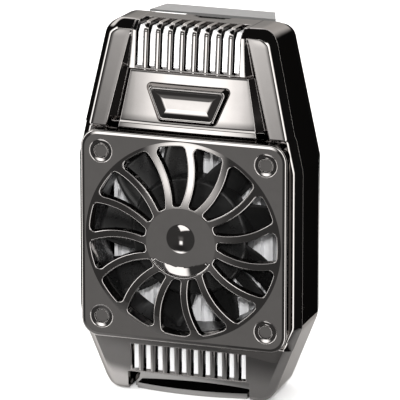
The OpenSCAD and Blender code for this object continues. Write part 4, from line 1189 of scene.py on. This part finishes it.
# Fan rotor: a cup with nine swept, bowed blades, thin at their front and back edges
ROTOR_Y = 3.25
ROTOR_BACK = 7.95
ROTOR_R = 11.4
ROTOR_WALL = 0.6
ROTOR_FLOOR = 3.95
ROTOR_EDGE = 0.9
ROTOR_EDGE_STEPS = 7
ROTOR_BACK_EDGE = 0.1
ROTOR_FLAT_R = 9.0
ROTOR_SIDES = 72
BLADES = 9
BLADE_TIP = 17.7
BLADE_T = 0.62
BLADE_PITCH = math.radians(35)
BLADE_TURN = math.radians(20)
BLADE_SWEEP = math.radians(7)
SWEEP_POWER = 1.5
BLADE_BOW = 0.35
BLADE_GAP = 0.15
BLADE_ROOT = 0.4
BLADE_THIN = 0.25
CHORD_END = 0.03
STATIONS = 10
CHORDS = 8


def blade_point(turn, side, out, across):
    """A point on one side of a blade, by its share of the way out to the tip and of the way to the back."""
    front, back = ROTOR_Y + BLADE_GAP, ROTOR_BACK - BLADE_GAP
    r = blend(ROTOR_R - BLADE_ROOT, BLADE_TIP, out)
    y = blend(front, back, across)
    sweep = -BLADE_SWEEP * out ** SWEEP_POWER
    full = math.sin(math.pi * min(max(across, CHORD_END), 1 - CHORD_END)) ** 0.5
    thick = BLADE_T / 2 * (BLADE_THIN + (1 - BLADE_THIN) * full)
    shift = -(y - (front + back) / 2) / math.tan(BLADE_PITCH) + BLADE_BOW * math.sin(math.pi * across)
    shift += side * thick / math.sin(BLADE_PITCH)
    return polar(r, turn + sweep + shift / r, y)


def add_blade(skin, turn):
    sheets = [[[skin.add(blade_point(turn, side, j / STATIONS, i / CHORDS)) for i in range(CHORDS + 1)]
               for j in range(STATIONS + 1)] for side in (-1, 1)]
    low, high = sheets
    for side, sheet in zip((-1, 1), sheets):
        for one, two in zip(sheet, sheet[1:]):
            for i in range(CHORDS):
                p = skin.points[one[i]]
                skin.face([one[i], one[i + 1], two[i + 1], two[i]], aim=Vector((-p.z, 0, p.x)) * side)
    for i, aim in ((0, AHEAD), (CHORDS, BEHIND)):
        for one, two, three, four in zip(low, low[1:], high, high[1:]):
            skin.face([one[i], two[i], four[i], three[i]], flat=True, aim=aim)
    for j, way in ((0, -1), (STATIONS, 1)):
        for i in range(CHORDS):
            p = skin.points[low[j][i]]
            skin.face([low[j][i], low[j][i + 1], high[j][i + 1], high[j][i]], flat=True,
                      aim=Vector((p.x, 0, p.z)) * way)


def make_impeller():
    skin = Skin()
    inner = ROTOR_R - ROTOR_WALL
    profile = [(inner, ROTOR_BACK), (ROTOR_R - ROTOR_BACK_EDGE, ROTOR_BACK),
               (ROTOR_R, ROTOR_BACK - ROTOR_BACK_EDGE)]
    for a in quarter(ROTOR_EDGE_STEPS):
        profile.append((ROTOR_R - ROTOR_EDGE * (1 - math.cos(a)), ROTOR_Y + ROTOR_EDGE * (1 - math.sin(a))))
    profile += [(ROTOR_FLAT_R, ROTOR_Y), (0, ROTOR_Y)]
    outer = spun(skin, (0, 0, 0), profile, ROTOR_SIDES)
    floor_ring = [skin.add(polar(inner, a, ROTOR_FLOOR), -polar(1, a)) for a in around(ROTOR_SIDES)]
    skin.stack([outer[0], floor_ring])
    middle = skin.add((0, ROTOR_FLOOR, 0), BEHIND)
    for a, b in round_pairs(floor_ring):
        skin.face([a, b, middle], flat=True, aim=BEHIND)
    for turn in around(BLADES):
        add_blade(skin, BLADE_TURN + turn)
    skin.shade()
    skin.orient()
    skin.build("fan_wheel", "fan_plastic", "rotor", "impeller")


make_impeller()

# Edge roundings of three CAD nodes, in millimetres; both angles are in degrees
SOFT_EDGES = {"rear_cover": 0.2, "upper_jaw": 0.3, "lower_jaw": 0.25}
SOFT_SEGMENTS = 3
SOFT_ANGLE = 25
FLAT_ANGLE = 0.5


def soften(obj, width):
    """Merges flat triangles, then rounds the sharp edges of a CAD node with modifiers."""
    flat = obj.modifiers.new("flat", "DECIMATE")
    flat.decimate_type = "DISSOLVE"
    flat.angle_limit = math.radians(FLAT_ANGLE)
    edge = obj.modifiers.new("edge", "BEVEL")
    edge.width = width * MM
    edge.segments = SOFT_SEGMENTS
    edge.limit_method = "ANGLE"
    edge.angle_limit = math.radians(SOFT_ANGLE)
    edge.harden_normals = True
    edge.use_clamp_overlap = True
    for polygon in obj.data.polygons:
        polygon.use_smooth = True


for name, width in SOFT_EDGES.items():
    soften(nodes[name], width)

# Floor: a pale sheet under the object and behind it, with painted shade in front of it: its colour goes dark
# there, so the plated metal mirrors dark
FLOOR_Z = -31.25
FLOOR_FRONT = -18.0
# Painted shade on the floor's front: two spans in front of the object, then the near black, grey and pale
# paper tones that the colour passes through
FLOOR_PAINTED_SHADE = (-18.0, -6.0)
FLOOR_SHADE_END = (-2.5, 2.2)
FLOOR_SHADE_TONES = (0.06, 0.28, 1.0)
FLOOR_BACK = 340.0
FLOOR_HALF = (48.0, 62.0)
PAPER_GRAIN = 300.0
PAPER_TONES = (0.87, 0.89)
PAPER_ROUGH = 0.8
along = Vector((-math.sin(CAM_AZIMUTH), math.cos(CAM_AZIMUTH), 0))
floor_mesh = bpy.data.meshes.new("floor")
floor_mesh.from_pydata(
    [at(*(along * s + cam_right * side + Vector((0, 0, FLOOR_Z))))
     for s, side in ((FLOOR_FRONT, -FLOOR_HALF[0]), (FLOOR_FRONT, FLOOR_HALF[0]),
                     (FLOOR_BACK, FLOOR_HALF[1]), (FLOOR_BACK, -FLOOR_HALF[1]))],
    [], [(0, 1, 2, 3)])
floor = bpy.data.objects.new("floor", floor_mesh)
bpy.context.scene.collection.objects.link(floor)


def floor_paper_and_painted_shade():
    """Pale paper with a faint grain, and painted shade that darkens it towards its front edge."""
    material, t, shader = new_material("floor_paper_and_painted_shade")
    place = t.node("ShaderNodeTexCoord").outputs["Object"]
    shift = along.dot(Vector((0, -FACE_Y, 0)))
    depth = t.dot(place, along)
    dark, middle, light = FLOOR_SHADE_TONES
    # Painted shade: near black at the front edge, grey nearer the object, then pale paper from the object
    # back
    painted_shade = t.fade(depth, *((s + shift) * MM for s in FLOOR_PAINTED_SHADE), dark, middle)
    shade_end = t.fade(depth, *((s + shift) * MM for s in FLOOR_SHADE_END), 0.0, light - middle)
    grain = t.fade(t.noise(place, PAPER_GRAIN), GRAIN_LOW, GRAIN_HIGH, *PAPER_TONES)
    tone = t.math("MULTIPLY", t.math("ADD", painted_shade, shade_end), grain)
    paint = t.node("ShaderNodeCombineColor")
    for socket in paint.inputs[:3]:
        t.link(tone, socket)
    t.link(paint.outputs[0], shader.inputs["Base Color"])
    shader.inputs["Roughness"].default_value = PAPER_ROUGH
    return material


floor_mesh.materials.append(floor_paper_and_painted_shade())

# World: a studio of soft boxes in a dim room, laid out by direction
ROOM_LIGHT = 0.015
ROOM_TINT = (1.0, 0.985, 0.97, 1)
BOX_SIDE = 0.02
BOX_AHEAD = 0.1
# Degrees left and up, half width, half height and soft edge in degrees, and strength
SOFT_BOXES = [
    (17.3, -2, 5.2, 6, 4, 4.0),
    (18, -20, 40, 30, 12, 0.08),
    (18, -17, 7, 6, 5, 0.26),
    (34, -47, 10.5, 10.5, 1.5, 3.4),
    (71, -5, 16, 52, 3, 3.8),
    (-35, -5, 16, 52, 3, 3.8),
    (18, 42, 46, 9, 3, 2.6),
    (-132, 0, 7, 40, 3, 2.8),
    (150, 0, 7, 40, 3, 2.8),
    (162, 20, 30, 16, 8, 1.8),
    (170, 52, 50, 10, 4, 2.4),
]
world = bpy.data.worlds.new("studio")
bpy.context.scene.world = world
world.use_nodes = True
w = Tree(world.node_tree)
world_out = w.node("ShaderNodeOutputWorld")
world_light = w.node("ShaderNodeBackground")
w.link(world_light.outputs[0], world_out.inputs[0])
world_dir = w.node("ShaderNodeTexCoord").outputs["Generated"]


def toward(left, up):
    """The direction that many degrees left of straight in front of the object and above the horizon."""
    a, e = math.radians(left), math.radians(up)
    return Vector((-math.sin(a) * math.cos(e), -math.cos(a) * math.cos(e), math.sin(e)))


def soft_box(left, up, half_w, half_h, edge, strength):
    """A soft-edged rectangle of light, its half sizes and edge in degrees."""
    ahead = toward(left, up)
    side = toward(left + 90, 0)
    rise = toward(left, up + 90)
    depth = w.dot(world_dir, ahead)
    inside = w.fade(depth, BOX_SIDE, BOX_AHEAD)
    safe = w.math("MAXIMUM", depth, BOX_SIDE)
    for axis, half in ((side, half_w), (rise, half_h)):
        off = w.math("ABSOLUTE", w.math("DIVIDE", w.dot(world_dir, axis), safe))
        limits = [math.tan(math.radians(limit)) for limit in (max(half - edge, 0), half + edge)]
        inside = w.math("MULTIPLY", inside, w.fade(off, *limits, 1.0, 0.0))
    return w.math("MULTIPLY", inside, strength)


total = ROOM_LIGHT
for box_light in [soft_box(*values) for values in SOFT_BOXES]:
    total = w.math("ADD", total, box_light)
w.link(total, world_light.inputs["Strength"])
world_light.inputs["Color"].default_value = ROOM_TINT


def add_sun(name, left, up, energy, angle):
    """A sun lamp that metal doesn't mirror, with its direction and size in degrees."""
    sun = bpy.data.objects.new(name, bpy.data.lights.new(name, "SUN"))
    sun.data.energy = energy
    sun.data.angle = math.radians(angle)
    sun.rotation_mode = "QUATERNION"
    sun.rotation_quaternion = toward(left, up).to_track_quat("Z", "Y")
    sun.visible_glossy = False
    bpy.context.scene.collection.objects.link(sun)


add_sun("sky_lamp", 20, 72, 2.6, 80)
add_sun("key_lamp", -18, 22, 3.0, 5)
